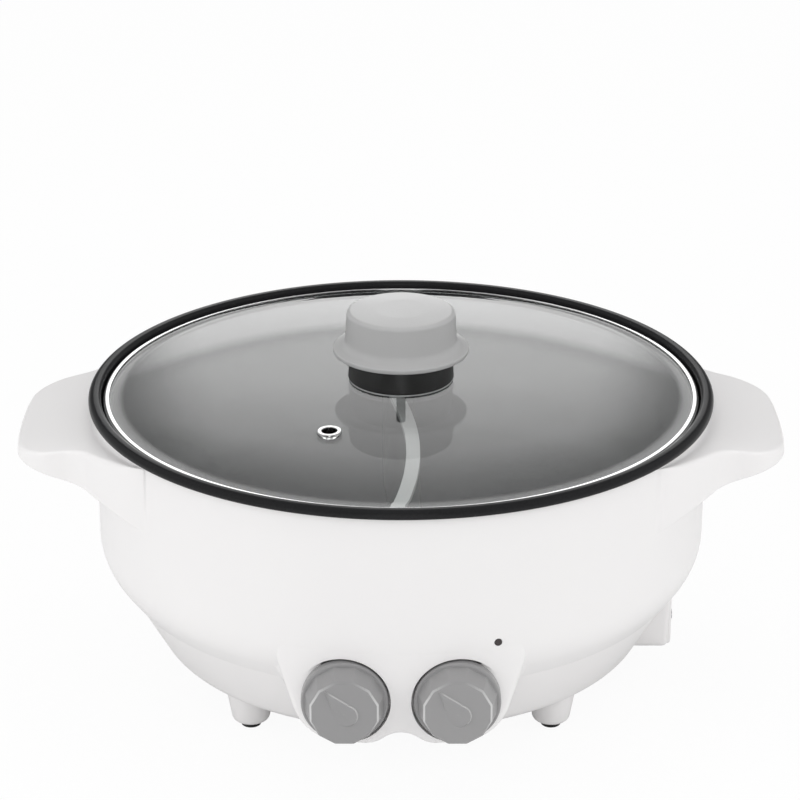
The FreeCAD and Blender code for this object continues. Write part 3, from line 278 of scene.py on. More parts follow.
finishes["nonstick"] = sprayed_coat()
finishes["nonstick_crest"] = grey_crest(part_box("divider_wall")[1].z, 0.003)
finishes["black_silicone"] = soft_rubber("black_silicone", grey(0.02), 0.6)
finishes["foot_rubber"] = soft_rubber("foot_rubber", grey(0.015), 0.7)
finishes["clear_silicone"] = soft_rubber("clear_silicone", (0.55, 0.56, 0.56), 0.45, 0.35)
print("coats", len(finishes))

# %% [markdown]
# Metals are told apart by how they were worked: the lid's band is polished, sheet steel is spangled
# with zinc, spindles are turned, and the heating tubes are tinted by heat. Each row gives a metal two
# near colours, a roughness with its spread, and how fine its pattern is.


# %% Metals
def metal(name, first, second, roughness, spread, scale, stretch=(1, 1, 1), depth=0.00002):
    """A metal whose colour, roughness and surface vary a little; stretch draws the pattern out."""
    material, tree, shader = new_material(name, first, roughness, Metallic=1.0)
    tint(tree, shader, pattern(tree, scale, 4, stretch), first, second)
    clouds = pattern(tree, scale * 1.7, 3, stretch)
    vary(tree, shader, clouds, "Roughness", roughness - spread, roughness + spread)
    roughen(tree, shader, pattern(tree, scale * 3, 2, stretch), depth)
    return material


metals = [
    ("bright_steel", grey(0.80), grey(0.84), 0.10, 0.03, 200, (1, 1, 1), 0.000004),
    ("spindle_metal", grey(0.60), grey(0.68), 0.30, 0.06, 900, (1, 0.02, 1)),
    ("spring_steel", grey(0.50), grey(0.58), 0.30, 0.05, 400),
    ("screw_steel", (0.52, 0.53, 0.55), grey(0.62), 0.28, 0.06, 700),
    ("zinc_sheet", (0.55, 0.57, 0.60), (0.70, 0.71, 0.73), 0.34, 0.08, 110),
    ("brass_parts", (0.62, 0.50, 0.28), (0.70, 0.60, 0.40), 0.25, 0.05, 500),
    ("aluminium_plate", grey(0.66), grey(0.76), 0.42, 0.08, 260),
    ("element_sheath", (0.26, 0.22, 0.20), (0.36, 0.34, 0.36), 0.40, 0.08, 120),
]
for row in metals:
    finishes[row[0]] = metal(*row)
print("metals", len(metals))

# %% [markdown]
# The lid is clear tempered glass. It is a real sheet with two faces, so its reflections come from the
# shader. Light that falls through it would be lost in a plain glass shader, so for shadow rays alone
# it lets the light pass.


# %% Glass
def clear_glass():
    """Clear glass that also lets the lamps' light through to what lies below it."""
    material, tree, shader = new_material("lid_glass", (0.93, 0.945, 0.94), 0.0)
    shader.inputs["Transmission Weight"].default_value = 1.0
    shader.inputs["IOR"].default_value = 1.5
    vary(tree, shader, pattern(tree, 12, 3), "Roughness", 0.0, 0.03)
    passing = add_node(tree, "ShaderNodeBsdfTransparent", Color=(0.88, 0.9, 0.89, 1))
    ray = add_node(tree, "ShaderNodeLightPath")
    mix = add_node(tree, "ShaderNodeMixShader")
    join(tree, ray, "Is Shadow Ray", mix, 0)
    join(tree, shader, "BSDF", mix, 1)
    join(tree, passing, "BSDF", mix, 2)
    join(tree, mix, "Shader", tree.nodes["Material Output"], "Surface")
    return material


finishes["lid_glass"] = clear_glass()
print("finishes", len(finishes))

# %% [markdown]
# Every imported node gets the finish that its record names, so the pieces inside the pot are finished
# too. Only the dividing wall differs: its coat is light grey along its crest.

# %% Finish every node
subparts = frame["record"]["subparts"]
for row in subparts:
    piece = nodes[row["node"]]
    piece.data.materials.clear()
    piece.data.materials.append(finishes[row["material_slot"]])
nodes["divider_wall"].data.materials[0] = finishes["nonstick_crest"]
print("finished nodes", len(subparts))

# %% [markdown]
# New pieces are grids of points. A grid becomes a mesh of four-sided faces, its doubled points at
# seams and poles are merged, and its faces are turned outwards.


# %% From a grid to a piece
def grid_mesh(bm, points, wrap_rows=False):
    """Add a grid of points (rows, columns, 3) in millimetres to a bmesh as four-sided faces.

    Each row is a closed ring, and wrap_rows also joins the last row to the first.
    """
    rows, columns = points.shape[:2]
    index = np.arange(rows * columns).reshape(rows, columns)
    if wrap_rows:
        index = np.vstack([index, index[:1]])
    index = np.hstack([index, index[:, :1]])
    corners = [index[:-1, :-1], index[:-1, 1:], index[1:, 1:], index[1:, :-1]]
    faces = np.stack(corners, -1).reshape(-1, 4)
    mesh = bpy.data.meshes.new("grid")
    mesh.from_pydata((points.reshape(-1, 3) * MM).tolist(), [], faces.tolist())
    bm.from_mesh(mesh)
    bpy.data.meshes.remove(mesh)


def settle(name, bm, slot, body, angle=40, merge=0.00002):
    """Merge doubles, turn the faces outwards, smooth all but sharp edges, and let it ride."""
    bmesh.ops.remove_doubles(bm, verts=bm.verts, dist=merge)
    bmesh.ops.dissolve_degenerate(bm, edges=bm.edges, dist=merge / 4)
    bmesh.ops.recalc_face_normals(bm, faces=bm.faces)
    mesh = bpy.data.meshes.new(name)
    bm.to_mesh(mesh)
    bm.free()
    mesh.shade_smooth()
    mesh.set_sharp_from_angle(angle=math.radians(angle))
    mesh.materials.append(finishes[slot])
    piece = bpy.data.objects.new(name, mesh)
    scene.collection.objects.link(piece)
    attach(piece, body)
    print(name, len(mesh.vertices), "points")
    return piece


# %% [markdown]
# Most of the pot was spun or moulded round: its pieces are one profile turned about the axis. A
# profile is a few corners, each with a rounding, like a drawing of the section.


# %% Rounded outlines
def rounded(corners, closed=True, steps=8):
    """Outline through corners (a, b, radius): each corner gives way to an arc tangent to both sides.

    The arc starts radius / tan(half the corner's angle) before the corner, and its centre lies on the
    line that halves the angle.
    """
    spots = np.array([corner[:2] for corner in corners], float)
    radii = [corner[2] if len(corner) > 2 else 0 for corner in corners]
    line = []
    for index, spot in enumerate(spots):
        if radii[index] == 0 or (not closed and index in (0, len(spots) - 1)):
            line.append(spot[None])
            continue
        back = spots[index - 1] - spot
        ahead = spots[(index + 1) % len(spots)] - spot
        back, ahead = back / np.hypot(*back), ahead / np.hypot(*ahead)
        half = math.acos(np.clip(back @ ahead, -1, 1)) / 2
        centre = spot + (back + ahead) / np.hypot(*(back + ahead)) * radii[index] / math.sin(half)
        start = spot + back * radii[index] / math.tan(half) - centre
        end = spot + ahead * radii[index] / math.tan(half) - centre
        turn = math.atan2(start[0] * end[1] - start[1] * end[0], start @ end)
        angle = np.linspace(0, turn, steps + 1)[:, None]
        crossed = np.array([-start[1], start[0]])
        line.append(centre + start * np.cos(angle) + crossed * np.sin(angle))
    return np.vstack(line)


def ring_grid(profile, columns, centre=(0.0, axis_y)):
    """Turn a profile of (radius, height) about an upright axis: x = r cos t, y = r sin t."""
    middle_x, middle_y = centre
    turn = np.linspace(0, 2 * np.pi, columns, endpoint=False)
    radius, height = profile[:, 0][:, None], profile[:, 1][:, None]
    grid = np.empty((len(profile), columns, 3))
    grid[..., 0] = middle_x + radius * np.cos(turn)
    grid[..., 1] = middle_y + radius * np.sin(turn)
    grid[..., 2] = height
    return grid


def turned(name, corners, slot, body, node, columns, closed=False, steps=8):
    """A piece turned from a rounded profile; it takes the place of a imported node."""
    bm = bmesh.new()
    grid_mesh(bm, ring_grid(rounded(corners, closed, steps), columns), wrap_rows=closed)
    piece = settle(name, bm, slot, body)
    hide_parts(node)


# %% [markdown]
# Holes are cut with the exact Boolean. It is safe here because every surface it meets is closed.


# %% Closed pieces and cuts
def closed_piece(grid, wrap_rows, ends=False):
    """A temporary object from one closed grid, its open ends filled."""
    bm = bmesh.new()
    grid_mesh(bm, grid, wrap_rows=wrap_rows)
    if ends:
        loose = [side for side in bm.edges if side.is_boundary]
        bmesh.ops.holes_fill(bm, edges=loose, sides=0)
    bmesh.ops.remove_doubles(bm, verts=bm.verts, dist=0.00002)
    bmesh.ops.dissolve_degenerate(bm, edges=bm.edges, dist=0.000005)
    bmesh.ops.recalc_face_normals(bm, faces=bm.faces)
    mesh = bpy.data.meshes.new("part")
    bm.to_mesh(mesh)
    bm.free()
    piece = bpy.data.objects.new("part", mesh)
    scene.collection.objects.link(piece)
    return piece


def cut_away(piece, tools):
    """The mesh of a piece with the tools' volumes taken out of it."""
    for tool in tools:
        cut = piece.modifiers.new("well", "BOOLEAN")
        cut.operation = "DIFFERENCE"
        cut.solver = "EXACT"
        cut.object = tool
    bpy.context.view_layer.update()
    view = piece.evaluated_get(bpy.context.evaluated_depsgraph_get())
    mesh = bpy.data.meshes.new_from_object(view)
    bpy.data.objects.remove(piece)
    return mesh


# %% [markdown]
# The pot is pressed from one disc and then coated: a floor with a large corner radius, a wall that
# leans outwards, a step on which the lid rests, and a rim that is rolled over.

# %% The pot
seat = 155.6
pot_wall = 1.8
pot_floor = 82
pot_under = pot_floor - pot_wall
turned("pot_shell", [
    (0, pot_floor), (148, pot_floor, 24), (155.5, seat, 1.5), (161.2, seat, 1.0), (161.2, flange_top, 2.0),
    (168, flange_top, 3.2), (168, flange_top - 5, 1.7), (163, flange_top - 5, 0.5),
    (163, seat - pot_wall, 1), (157.3, seat - pot_wall, 1), (149.8, pot_under, 25.8), (0, pot_under),
], "nonstick", "base", "pot", columns=360, steps=12)

# %% [markdown]
# The lid: a lens of glass with a band of bright steel folded round its edge, and a steel eyelet that
# lets the steam out. The glass is a shallow part of a sphere, 7 mm high over its width. The packed
# eyelet is kept, and the glass gets the hole that it sits in.

# %% Lid glass
dome_radius = 152.0
dome_rise = 7.0
glass_edge = 160.4
glass_thick = 4.0
sphere = (dome_radius ** 2 + dome_rise ** 2) / (2 * dome_rise)
across = np.linspace(0, 1, 40) ** 0.8 * dome_radius
glass_top = glass_edge + dome_rise
top_line = np.stack([across, glass_top - sphere + np.sqrt(sphere ** 2 - across ** 2)], 1)
glass_low = glass_edge - glass_thick
rim_line = np.array([[159.4, glass_edge], [159.55, glass_edge - 0.3],
                     [159.55, glass_low + 0.3], [159.4, glass_low]])
under_line = (top_line - [0, glass_thick])[::-1]
glass_profile = np.vstack([top_line, rim_line, under_line])
vent_low, vent_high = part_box("vent_eyelet")
vent_x = (vent_low.x + vent_high.x) / 2 / MM
vent_y = (vent_low.y + vent_high.y) / 2 / MM
vent_side = np.array([[4.2, 140], [4.2, 180]])
vent_hole = closed_piece(ring_grid(vent_side, 64, (vent_x, vent_y)), False, True)
glass_bm = bmesh.new()
glass_bm.from_mesh(cut_away(closed_piece(ring_grid(glass_profile, 360), True), [vent_hole]))
bpy.data.objects.remove(vent_hole)
lid_sheet = settle("lid_sheet", glass_bm, "lid_glass", "lid", angle=30)
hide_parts("lid_glass")

# %% Lid band
band_high = flange_top - 2.5
band_low = band_high - 5.2
band_sheet = 0.6
turned("lid_band", [
    (156.8, band_low, 0.2), (160.3, band_low, 1.0), (160.3, band_high, 1.5), (156.8, band_high, 0.3),
    (156.8, band_high - band_sheet, 0.2), (159.7, band_high - band_sheet),
    (159.7, band_low + band_sheet), (156.8, band_low + band_sheet, 0.2),
], "bright_steel", "lid", "lid_rim", columns=360, closed=True)

# %% [markdown]
# The lid's knob is a satin grey cap with a brim, on a black collar. Turned profiles again, with the
# soft edges that a moulding has. Neither piece shows in mirrors, so the glass below them stays clear
# to look through.

# %% Knob
gasket_high = 0.6
brim = glass_top + gasket_high + 16
turned("knob_collar_dress", [
    (0, glass_top, 0), (23.5, glass_top, 0), (28.5, glass_top + gasket_high, 1.2), (27.5, brim, 0.5),
    (0, brim, 0),
], "black_plastic", "lid", "knob_collar", columns=160)
turned("knob_cap_dress", [
    (0, brim), (28.5, brim, 0.5), (33.5, brim - 1.2, 1.5), (36.5, brim - 1.0, 0.8), (36.5, brim + 1.4, 0.9),
    (30.2, brim + 3.2, 5.0), (29.0, brim + 22.0, 2.4), (14, brim + 22.8, 40), (0, brim + 23.0),
], "grey_satin", "lid", "knob_cap", columns=160, steps=10)
for name in ("knob_collar_dress", "knob_cap_dress"):
    bpy.data.objects[name].visible_glossy = False
print("knob from", round(glass_top, 2), "to", round(brim + 23, 2))

# %% [markdown]
# The shell is one moulding: a bowl that bulges outwards from the seam, with a lobe on each side as a
# handle. Its section changes as it goes round. At each angle the section is a list of corners, and
# the lobe's corners move out to the edge of the handle's plan. Where there is no lobe they lie on the
# wall. Each corner is rounded with a parabola, whose reach shrinks with the sides beside it.


# %% Plan of the handles
shell_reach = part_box("body_shell")[1].x / MM
bowl_radius = 164.4
lobe_neck = 171


def handle_plan():
    """Half plan of one lobe, from its tip to its root, as (x, y)."""
    tip = shell_reach + 0.1
    corners = [(tip, -52, 0), (tip, 0, 220), (203, 51, 25),
               (lobe_neck, 57.5, 26), (128, 102, 0), (120, 112, 0)]
    return rounded(corners, closed=False, steps=40)


plan = handle_plan()
plan = plan[plan[:, 1] >= 0]
plan_angle = np.arctan2(plan[:, 1], plan[:, 0])
plan_radius = np.hypot(plan[:, 0], plan[:, 1])
order = np.argsort(plan_angle)


def lobe_radius(turn):
    """Radius of the handle's outline at an angle, measured from the nearer end of the x axis."""
    off = np.abs((turn + np.pi / 2) % np.pi - np.pi / 2)
    lobe = np.interp(off, plan_angle[order], plan_radius[order]) * (off < plan_angle.max())
    return np.maximum(lobe, bowl_radius)


def smooth(value):
    """Smooth step from 0 to 1: 3 v^2 - 2 v^3."""
    value = np.clip(value, 0, 1)
    return value * value * (3 - 2 * value)


def parabola_corners(corners, reaches, steps):
    """Round each corner of many sections at once with a quadratic curve.

    corners is (sections, corners, 2). The curve runs from a point on the side before, towards the
    corner, to a point on the side after: (1-s)^2 A + 2 s (1-s) P + s^2 B.
    """
    before = np.roll(corners, 1, 1) - corners
    after = np.roll(corners, -1, 1) - corners
    long_before = np.linalg.norm(before, axis=-1, keepdims=True)
    long_after = np.linalg.norm(after, axis=-1, keepdims=True)
    reach = np.minimum(np.minimum(long_before, long_after) * 0.48, reaches[..., None])
    start = corners + before / np.maximum(long_before, 1e-6) * reach
    end = corners + after / np.maximum(long_after, 1e-6) * reach
    s = np.linspace(0, 1, steps)[None, None, :, None]
    curve = (1 - s) ** 2 * start[:, :, None] + 2 * s * (1 - s) * corners[:, :, None]
    curve = curve + s ** 2 * end[:, :, None]
    return curve.reshape(len(corners), -1, 2)


# %% Sizes of the shell
seam_height = 58.5
seam_radius = 151.4
bulge_height = 75.6
shell_top = 158.2
shelf_height = 153
lobe_wall = 3.2
lobe_root = 128
lobe_run = 35
lobe_low = 129.5
lobe_low_rise = 8
lobe_top = 149
lobe_top_fall = 6.5
print("bowl radius", bowl_radius, "handle reach", round(shell_reach, 2))


def shell_sections(turn):
    """Sections of the shell at the given angles, as (angles, points, (radius, height)).

    The lobe's top falls and its lower edge rises in a straight line with the distance from the neck,
    measured along the x axis.
    """
    out = lobe_radius(turn)
    near = np.abs(np.cos(turn))
    slope = (np.maximum(out * near, lobe_root) - lobe_neck) / lobe_run
    slope_in = (np.maximum(bowl_radius * near, lobe_root) - lobe_neck) / lobe_run
    lobe = smooth((out - bowl_radius) / 8)
    pocket = smooth((out - bowl_radius - 12) / 12)
    low_out = lobe_low + lobe_low_rise * slope
    low_in = lobe_low + lobe_low_rise * slope_in
    top_out = lobe_top - lobe_top_fall * slope
    top_in = lobe_top - lobe_top_fall * slope_in
    roof_in = low_in + (top_in - lobe_wall - low_in) * pocket
    roof_out = low_out + (top_out - lobe_wall - low_out) * pocket
    inner = np.maximum(out - lobe_wall - 0.3, bowl_radius)
    one = np.ones_like(turn)
    rows = [
        (seam_radius - 3.8, seam_height, 0), (seam_radius, seam_height, 0.6),
        (bowl_radius, bulge_height, 20.9), (bowl_radius, 100, 1),
        (bowl_radius, roof_in, 4), (inner, roof_out, 1.5), (inner, low_out, 1.2), (out, low_out, 1.6),
        (out, top_out, 3.2), (bowl_radius + 0.01, top_in, 4.5), (bowl_radius, shell_top, 0.8),
        (163.3, shell_top, 0.2), (163.3, shelf_height, 0.2), (159, shelf_height, 0.4),
        (159, 150.6, 0.4), (161.4, 147, 2), (161.4, bulge_height, 18),
    ]
    corners = np.stack([np.stack([radius * one, height * one], -1) for radius, height, _ in rows], 1)
    fading = range(4, 10)
    reaches = np.stack([row[2] * (lobe * 0.999 + 0.001 if place in fading else one)
                        for place, row in enumerate(rows)], 1)
    return parabola_corners(corners, reaches, 7)


# %% [markdown]
# The 720 sections stand closer together near the handles and the console, where the form changes
# most: a small sine wave is taken from their even angles.

# %% Bowl with both lobes
turn = np.linspace(0, 2 * np.pi, 720, endpoint=False)
turn = turn - 0.16 * np.sin(4 * turn) / 4
sections = shell_sections(turn)
shell_grid = np.stack([sections[..., 0] * np.cos(turn)[:, None],
                       axis_y + sections[..., 0] * np.sin(turn)[:, None], sections[..., 1]], -1)
print("shell grid", shell_grid.shape)

# %% [markdown]
# The console is the apron in front that carries the dials: it continues the bowl's upright wall
# downwards in two lobes, while the bowl itself curves away behind it. It is made of rings: the
# outline of the apron is followed outwards over its face, its soft edge and a side wall that runs
# back until it meets the bowl or the base, where it flares into a fillet. The last rings close it
# inside the bowl's wall, where nobody sees them.

# %% Outer radius of the bowl and the base at any height
bowl_line = rounded([(seam_radius, seam_height), (bowl_radius, bulge_height, 62), (bowl_radius, 160)],
                    closed=False, steps=40)
cover_low = 20
cover_line = rounded([(60, cover_low), (129, cover_low, 16), (150.6, seam_height)], closed=False, steps=20)


def wall_radius(height):
    """The bowl's radius above the seam and the base's below it, read from the two lines above."""
    return np.where(height > seam_height, np.interp(height, bowl_line[:, 1], bowl_line[:, 0]),
                    np.interp(height, cover_line[:, 1], cover_line[:, 0]))


# %% Console rings
console_face = bowl_radius - 0.1
half_outline = [(13, 32.6, 16), (49.5, 32.6, 23.5), (63, 75, 30), (66, 112, 0)]
console_corners = [(0, 43, 14)] + half_outline + [(-x, z, r) for x, z, r in reversed(half_outline)]


def spread(line, count):
    """Points at equal steps along a closed line."""
    line = np.vstack([line, line[:1]])
    run = np.concatenate([[0], np.cumsum(np.linalg.norm(np.diff(line, axis=0), axis=1))])
    at = np.linspace(0, run[-1], count, endpoint=False)
    return np.stack([np.interp(at, run, line[:, 0]), np.interp(at, run, line[:, 1])], 1)


def outward(line):
    """Unit normals of a closed line, pointing away from its inside."""
    along = np.roll(line, -1, 0) - np.roll(line, 1, 0)
    normal = np.stack([along[:, 1], -along[:, 0]], 1)
    normal = normal / np.linalg.norm(normal, axis=1, keepdims=True)
    return normal if (line * normal).sum() > (line.mean(0) * normal).sum() else -normal


def face_depth(x, radius):
    """How far in front of the axis a cylinder's surface lies at a sideways place."""
    return np.sqrt(np.maximum(radius ** 2 - x ** 2, 1))


# %% Face, soft edge, side wall and back of the console
outline = spread(rounded(console_corners, steps=16), 420)
away = outward(outline)
edge = 3.0
middle = np.array([0, 78])
rings = []
for share in np.linspace(0.02, 1, 26):
    flat = middle + (outline - away * edge - middle) * share
    rings.append(np.column_stack([flat[:, 0], -face_depth(flat[:, 0], console_face), flat[:, 1]]))
for step in np.linspace(0.1, 1, 9) * np.pi / 2:
    flat = outline - away * edge * (1 - np.sin(step))
    front = face_depth(flat[:, 0], console_face)
    rings.append(np.column_stack([flat[:, 0], -front + edge * (1 - np.cos(step)), flat[:, 1]]))
behind = face_depth(outline[:, 0], np.maximum(wall_radius(outline[:, 1]), np.abs(outline[:, 0]) + 1))
deep = np.maximum(face_depth(outline[:, 0], console_face) - edge - behind, 0.0)
flare = np.minimum(2.5, deep * 0.6)
for step in np.linspace(0, 1, 8):
    bend = step * np.pi / 2
    grow = deep * 0.03 * step + flare * (1 - np.cos(bend))
    flat = outline + away * grow[:, None]
    back = edge - face_depth(outline[:, 0], console_face)
    back = back + (deep - flare) * step ** 0.7 + flare * np.sin(bend)
    rings.append(np.column_stack([flat[:, 0], back, flat[:, 1]]))
rings.append(np.column_stack([flat[:, 0], back + 1.5, flat[:, 1]]))
for share in np.linspace(0.85, 0.02, 8):
    flat = middle + (outline - middle) * share
    inside = -face_depth(flat[:, 0], wall_radius(flat[:, 1]) - 1.6)
    rings.append(np.column_stack([flat[:, 0], inside, flat[:, 1]]))
console_grid = np.stack(rings) + [0, axis_y, 0]
print("console grid", console_grid.shape)

# %% [markdown]
# The dials sit in round wells in the apron. The wells are cut out of the bowl and of the apron, and
# so is the small hole of the indicator's window.


# %% Cut the wells
well_floor = dial_back + 0.5
well_radius = 23.2
window_x, window_z, window_radius = 48.6, 87.3, 2.0


def drill(x, z, radius, floor):
    """A closed cylinder along Y that starts at a floor and ends in front of the console."""
    turn = np.linspace(0, 2 * np.pi, 96, endpoint=False)
    ring = np.column_stack([x + radius * np.cos(turn), np.full(96, floor), z + radius * np.sin(turn)])
    return closed_piece(np.stack([ring, ring + [0, -60, 0]]), False, True)


tools = [drill(-dial_side, dial_height, well_radius, well_floor),
         drill(dial_side, dial_height, well_radius, well_floor),
         drill(window_x, window_z, window_radius, -150 + axis_y)]
shell_bm = bmesh.new()
shell_bm.from_mesh(cut_away(closed_piece(shell_grid, True), tools))
shell_bm.from_mesh(cut_away(closed_piece(console_grid, False, True), tools))
for tool in tools:
    bpy.data.objects.remove(tool)
shell = settle("shell", shell_bm, "white_shell", "base", angle=35, merge=0.00001)
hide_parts("body_shell")

# %% [markdown]
# The lower shell closes the pot from below: a shallow dish with four stubby legs whose tips are
# rounded, and a box at the right for the mains inlet.


# %% Base
cover_bm = bmesh.new()
cover_floor = cover_low + 3
cover = rounded([(0, cover_low), (129, cover_low, 16), (150.6, seam_height, 0.5),
                 (146.9, seam_height, 0.5), (126.5, cover_floor, 13), (0, cover_floor)],
                closed=False, steps=14)
inlet_height = 35
well = np.array([[-13.2, -9.4], [13.2, -9.4], [13.2, 9.4], [-13.2, 9.4]]) + [axis_y, inlet_height]
inlet_well = np.stack([np.column_stack([np.full(4, x), well]) for x in (124.0, 160.0)])
inlet_hole = closed_piece(inlet_well, False, True)
cover_bm.from_mesh(cut_away(closed_piece(ring_grid(cover, 300), False), [inlet_hole]))
leg = rounded([(0, 3), (9.6, 3, 4), (13.6, 26, 6), (19, 30, 0), (0, 31, 0)], closed=False, steps=10)
leg_place = 80
for side in (-leg_place, leg_place):
    for end in (-leg_place, leg_place):
        grid_mesh(cover_bm, ring_grid(leg, 64, (side, end + axis_y)))
print("cover with legs")


# %% Inlet box
def soft_ends(low, high, edge):
    """Stations along a sweep with a quarter-round at both ends, as (place, inset)."""
    angle = np.linspace(0, np.pi / 2, 5)
    start = [(low + edge * (1 - math.sin(a)), edge * (1 - math.cos(a))) for a in angle[::-1]]
    return start + [(low + high - y, inset) for y, inset in start[::-1]]


def rounded_box(bm, low, high, edge):
    """A box whose section in the XZ view is rounded, swept along Y, with soft ends and the hole for
    the inlet. Its side leans out 0.8 mm towards the top."""
    section = rounded([(low[0], low[2], edge), (high[0], low[2], edge), (high[0] + 0.8, high[2], edge),
                       (low[0], high[2], edge)], steps=5)
    middle = np.array([low[0] + high[0], low[2] + high[2]]) / 2
    layers = []
    for y, inset in soft_ends(low[1], high[1], edge):
        scale = 1 - inset / np.array([(high[0] - low[0]) / 2, (high[2] - low[2]) / 2])
        flat = middle + (section - middle) * scale
        layers.append(np.column_stack([flat[:, 0], np.full(len(flat), y), flat[:, 1]]))
    middle_row = np.broadcast_to([middle[0], 0, middle[1]], layers[0].shape).copy()
    first, last = middle_row.copy(), middle_row.copy()
    first[:, 1], last[:, 1] = low[1], high[1]
    bm.from_mesh(cut_away(closed_piece(np.stack([first] + layers + [last]), False), [inlet_hole]))


rounded_box(cover_bm, (90, -30 + axis_y, cover_low), (146, 30 + axis_y, 50), 3)
bpy.data.objects.remove(inlet_hole)

# %% [markdown]
# A low white lip frames the black socket. It is a rounded oblong, swept through the few offsets of
# its section.

# %% Lip round the inlet
inlet_low, inlet_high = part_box("inlet_socket")
lip_gap = 0.3
lip_low = np.array([inlet_low.y / MM - lip_gap, inlet_low.z / MM - lip_gap])
lip_high = np.array([inlet_high.y / MM + lip_gap, inlet_high.z / MM + lip_gap])
lip_rows = []
for x, grow in ((145.0, 0), (147.6, 0), (147.9, 0.3), (147.9, 1.5), (147.0, 2.4), (145.0, 2.6)):
    low, high = lip_low - grow, lip_high + grow
    ring = rounded([(low[0], low[1], 1), (high[0], low[1], 1),
                    (high[0], high[1], 1), (low[0], high[1], 1)])
    lip_rows.append(np.column_stack([np.full(len(ring), x), ring[:, 0], ring[:, 1]]))
grid_mesh(cover_bm, np.stack(lip_rows), wrap_rows=True)
print("inlet", [round(value / MM, 1) for value in (*inlet_low, *inlet_high)])
base_dress = settle("base_dress", cover_bm, "white_cover", "base", angle=35)
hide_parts("base_cover")

# %% [markdown]
# A dial is a round skirt with a tapering grip of twelve flats, and a drop raised on its face. It is
# one grid: rings run from the skirt's back over the grip to the middle of the face, and the height
# of the face follows the distance to the drop's outline. The bevel round the face and the drop's
# upper edge are marked as pale: a painted highlight, where lamps would catch these edges.


# %% Dials
def flats(turn, radius, sides=12):
    """Radius of a regular polygon at an angle: its inner radius divided by the cosine of the angle
    to the middle of the nearest side, with the corners trimmed a little."""
    half = np.pi / sides
    off = (turn + half) % (2 * half) - half
    return np.minimum(radius * math.cos(half) / np.cos(off), radius * 0.996)


def drop_height(x, z):
    """Height of the raised drop, and the signed distance from its long axis.

    It is 1 mm high inside its outline and falls over 0.7 mm at its edge. On its lower left side it
    fades into the face, so only the edge at its upper right is seen as a line. The drop is a circle
    of 5.8 mm joined by tangents to a tip that is 17 mm from its middle.
    """
    lean = math.radians(37)
    along = -math.sin(lean) * x + math.cos(lean) * z
    signed = math.cos(lean) * x + math.sin(lean) * z
    sideways = np.abs(signed)
    middle, size, reach = -1.4, 5.8, 17.0
    rise = size / reach
    flat = math.sqrt(1 - rise * rise)
    up = along - middle
    to_circle = np.hypot(sideways, up) - size
    to_side = sideways * flat + up * rise - size
    distance = np.where(up * flat > sideways * rise, to_side, to_circle)
    return smooth(0.5 - distance / 0.7) * smooth(1 + signed / 6.5), signed


skirt_radius, skirt_depth = 22.0, 7.0
grip_radius, face_radius = 20.6, 17.9
bevel_radius, dial_depth = 16.8, 18.5


def dial_grid():
    """Rings of the dial as (rings, columns, 3): x and z across the dial, y towards the front.

    The second array says how strong the painted highlight is at each point, from 0 to 1.
    """
    turn = np.linspace(0, 2 * np.pi, 480, endpoint=False)
    round_line = np.ones_like(turn)
    rings = [(19.0 * round_line, 0.5), (21.6 * round_line, 0.5), (skirt_radius * round_line, 0.9),
             (skirt_radius * round_line, 6.0), (21.7 * round_line, 6.7), (21.2 * round_line, skirt_depth)]
    for share in np.linspace(0, 1, 14):
        size = grip_radius - (grip_radius - face_radius) * share
        rings.append((np.minimum(flats(turn, size), 21.2), skirt_depth + 10.5 * share))
    rings += [(flats(turn, 17.8), 17.6), (flats(turn, 16.95), 18.4), (flats(turn, bevel_radius), dial_depth)]
    grid = [np.column_stack([r * np.cos(turn), y * round_line, r * np.sin(turn)]) for r, y in rings]
    # Painted highlight: the bevel is painted paler on its left and right sides, fading out towards the
    # bottom.
    highlight_sides = np.cos(turn) ** 2 * smooth(1.2 + 1.5 * np.sin(turn))
    pale = [highlight_sides if 17.5 < y < 18.45 else 0 * turn for _, y in rings]
    face = flats(turn, bevel_radius)
    for share in np.linspace(0.985, 0.004, 44):
        x, z = face * share * np.cos(turn), face * share * np.sin(turn)
        height, signed = drop_height(x, z)
        grid.append(np.column_stack([x, dial_depth + height, z]))
        # Painted highlight on the slope of the drop's edge, on its upper right side.
        pale.append(np.clip(4 * height * (1 - height), 0, 1) * smooth(signed / 1.5))
    return np.stack(grid), np.stack(pale)


def store_painted_highlight(cap, grid, pale):
    """Store the painted highlight of each grid point on the vertex at its place, as the attribute pale.

    Grid points and vertices are rounded to a thousandth of a millimetre, and equal places share one
    number, which finds the level of a vertex in a table.
    """
    spots = np.empty(len(cap.data.vertices) * 3)
    cap.data.vertices.foreach_get("co", spots)
    known = np.round(grid.reshape(-1, 3) * MM, 6)
    wanted = np.round(spots.reshape(-1, 3), 6)
    _, place = np.unique(np.vstack([known, wanted]), axis=0, return_inverse=True)
    place = place.reshape(-1)
    level = np.zeros(place.max() + 1)
    level[place[:len(known)]] = pale.reshape(-1)
    layer = cap.data.attributes.new("pale", "FLOAT", "POINT")
    layer.data.foreach_set("value", level[place[len(known):]].astype(np.float32))
    print("pale points", int((level > 0.5).sum()))


for name, side in (("left", -1), ("right", 1)):
    grid, pale = dial_grid()
    grid[..., 1] = well_floor - grid[..., 1]
    grid += [side * dial_side, 0, dial_height]
    dial_bm = bmesh.new()
    grid_mesh(dial_bm, grid)
    cap = settle("dial_cap_" + name, dial_bm, "dial_grey", "dial_" + name, angle=13)
    store_painted_highlight(cap, grid, pale)
    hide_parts("dial_" + name)

# %% [markdown]
# The stage is a pale floor that keeps a faint shadow, a white background and a soft studio light. In
# the glass the studio is seen as a bright back wall that ends in an arc, with a darker ceiling above
# it. That is light that only mirrors see, so it gives the lid its gradient and leaves the rest alone.


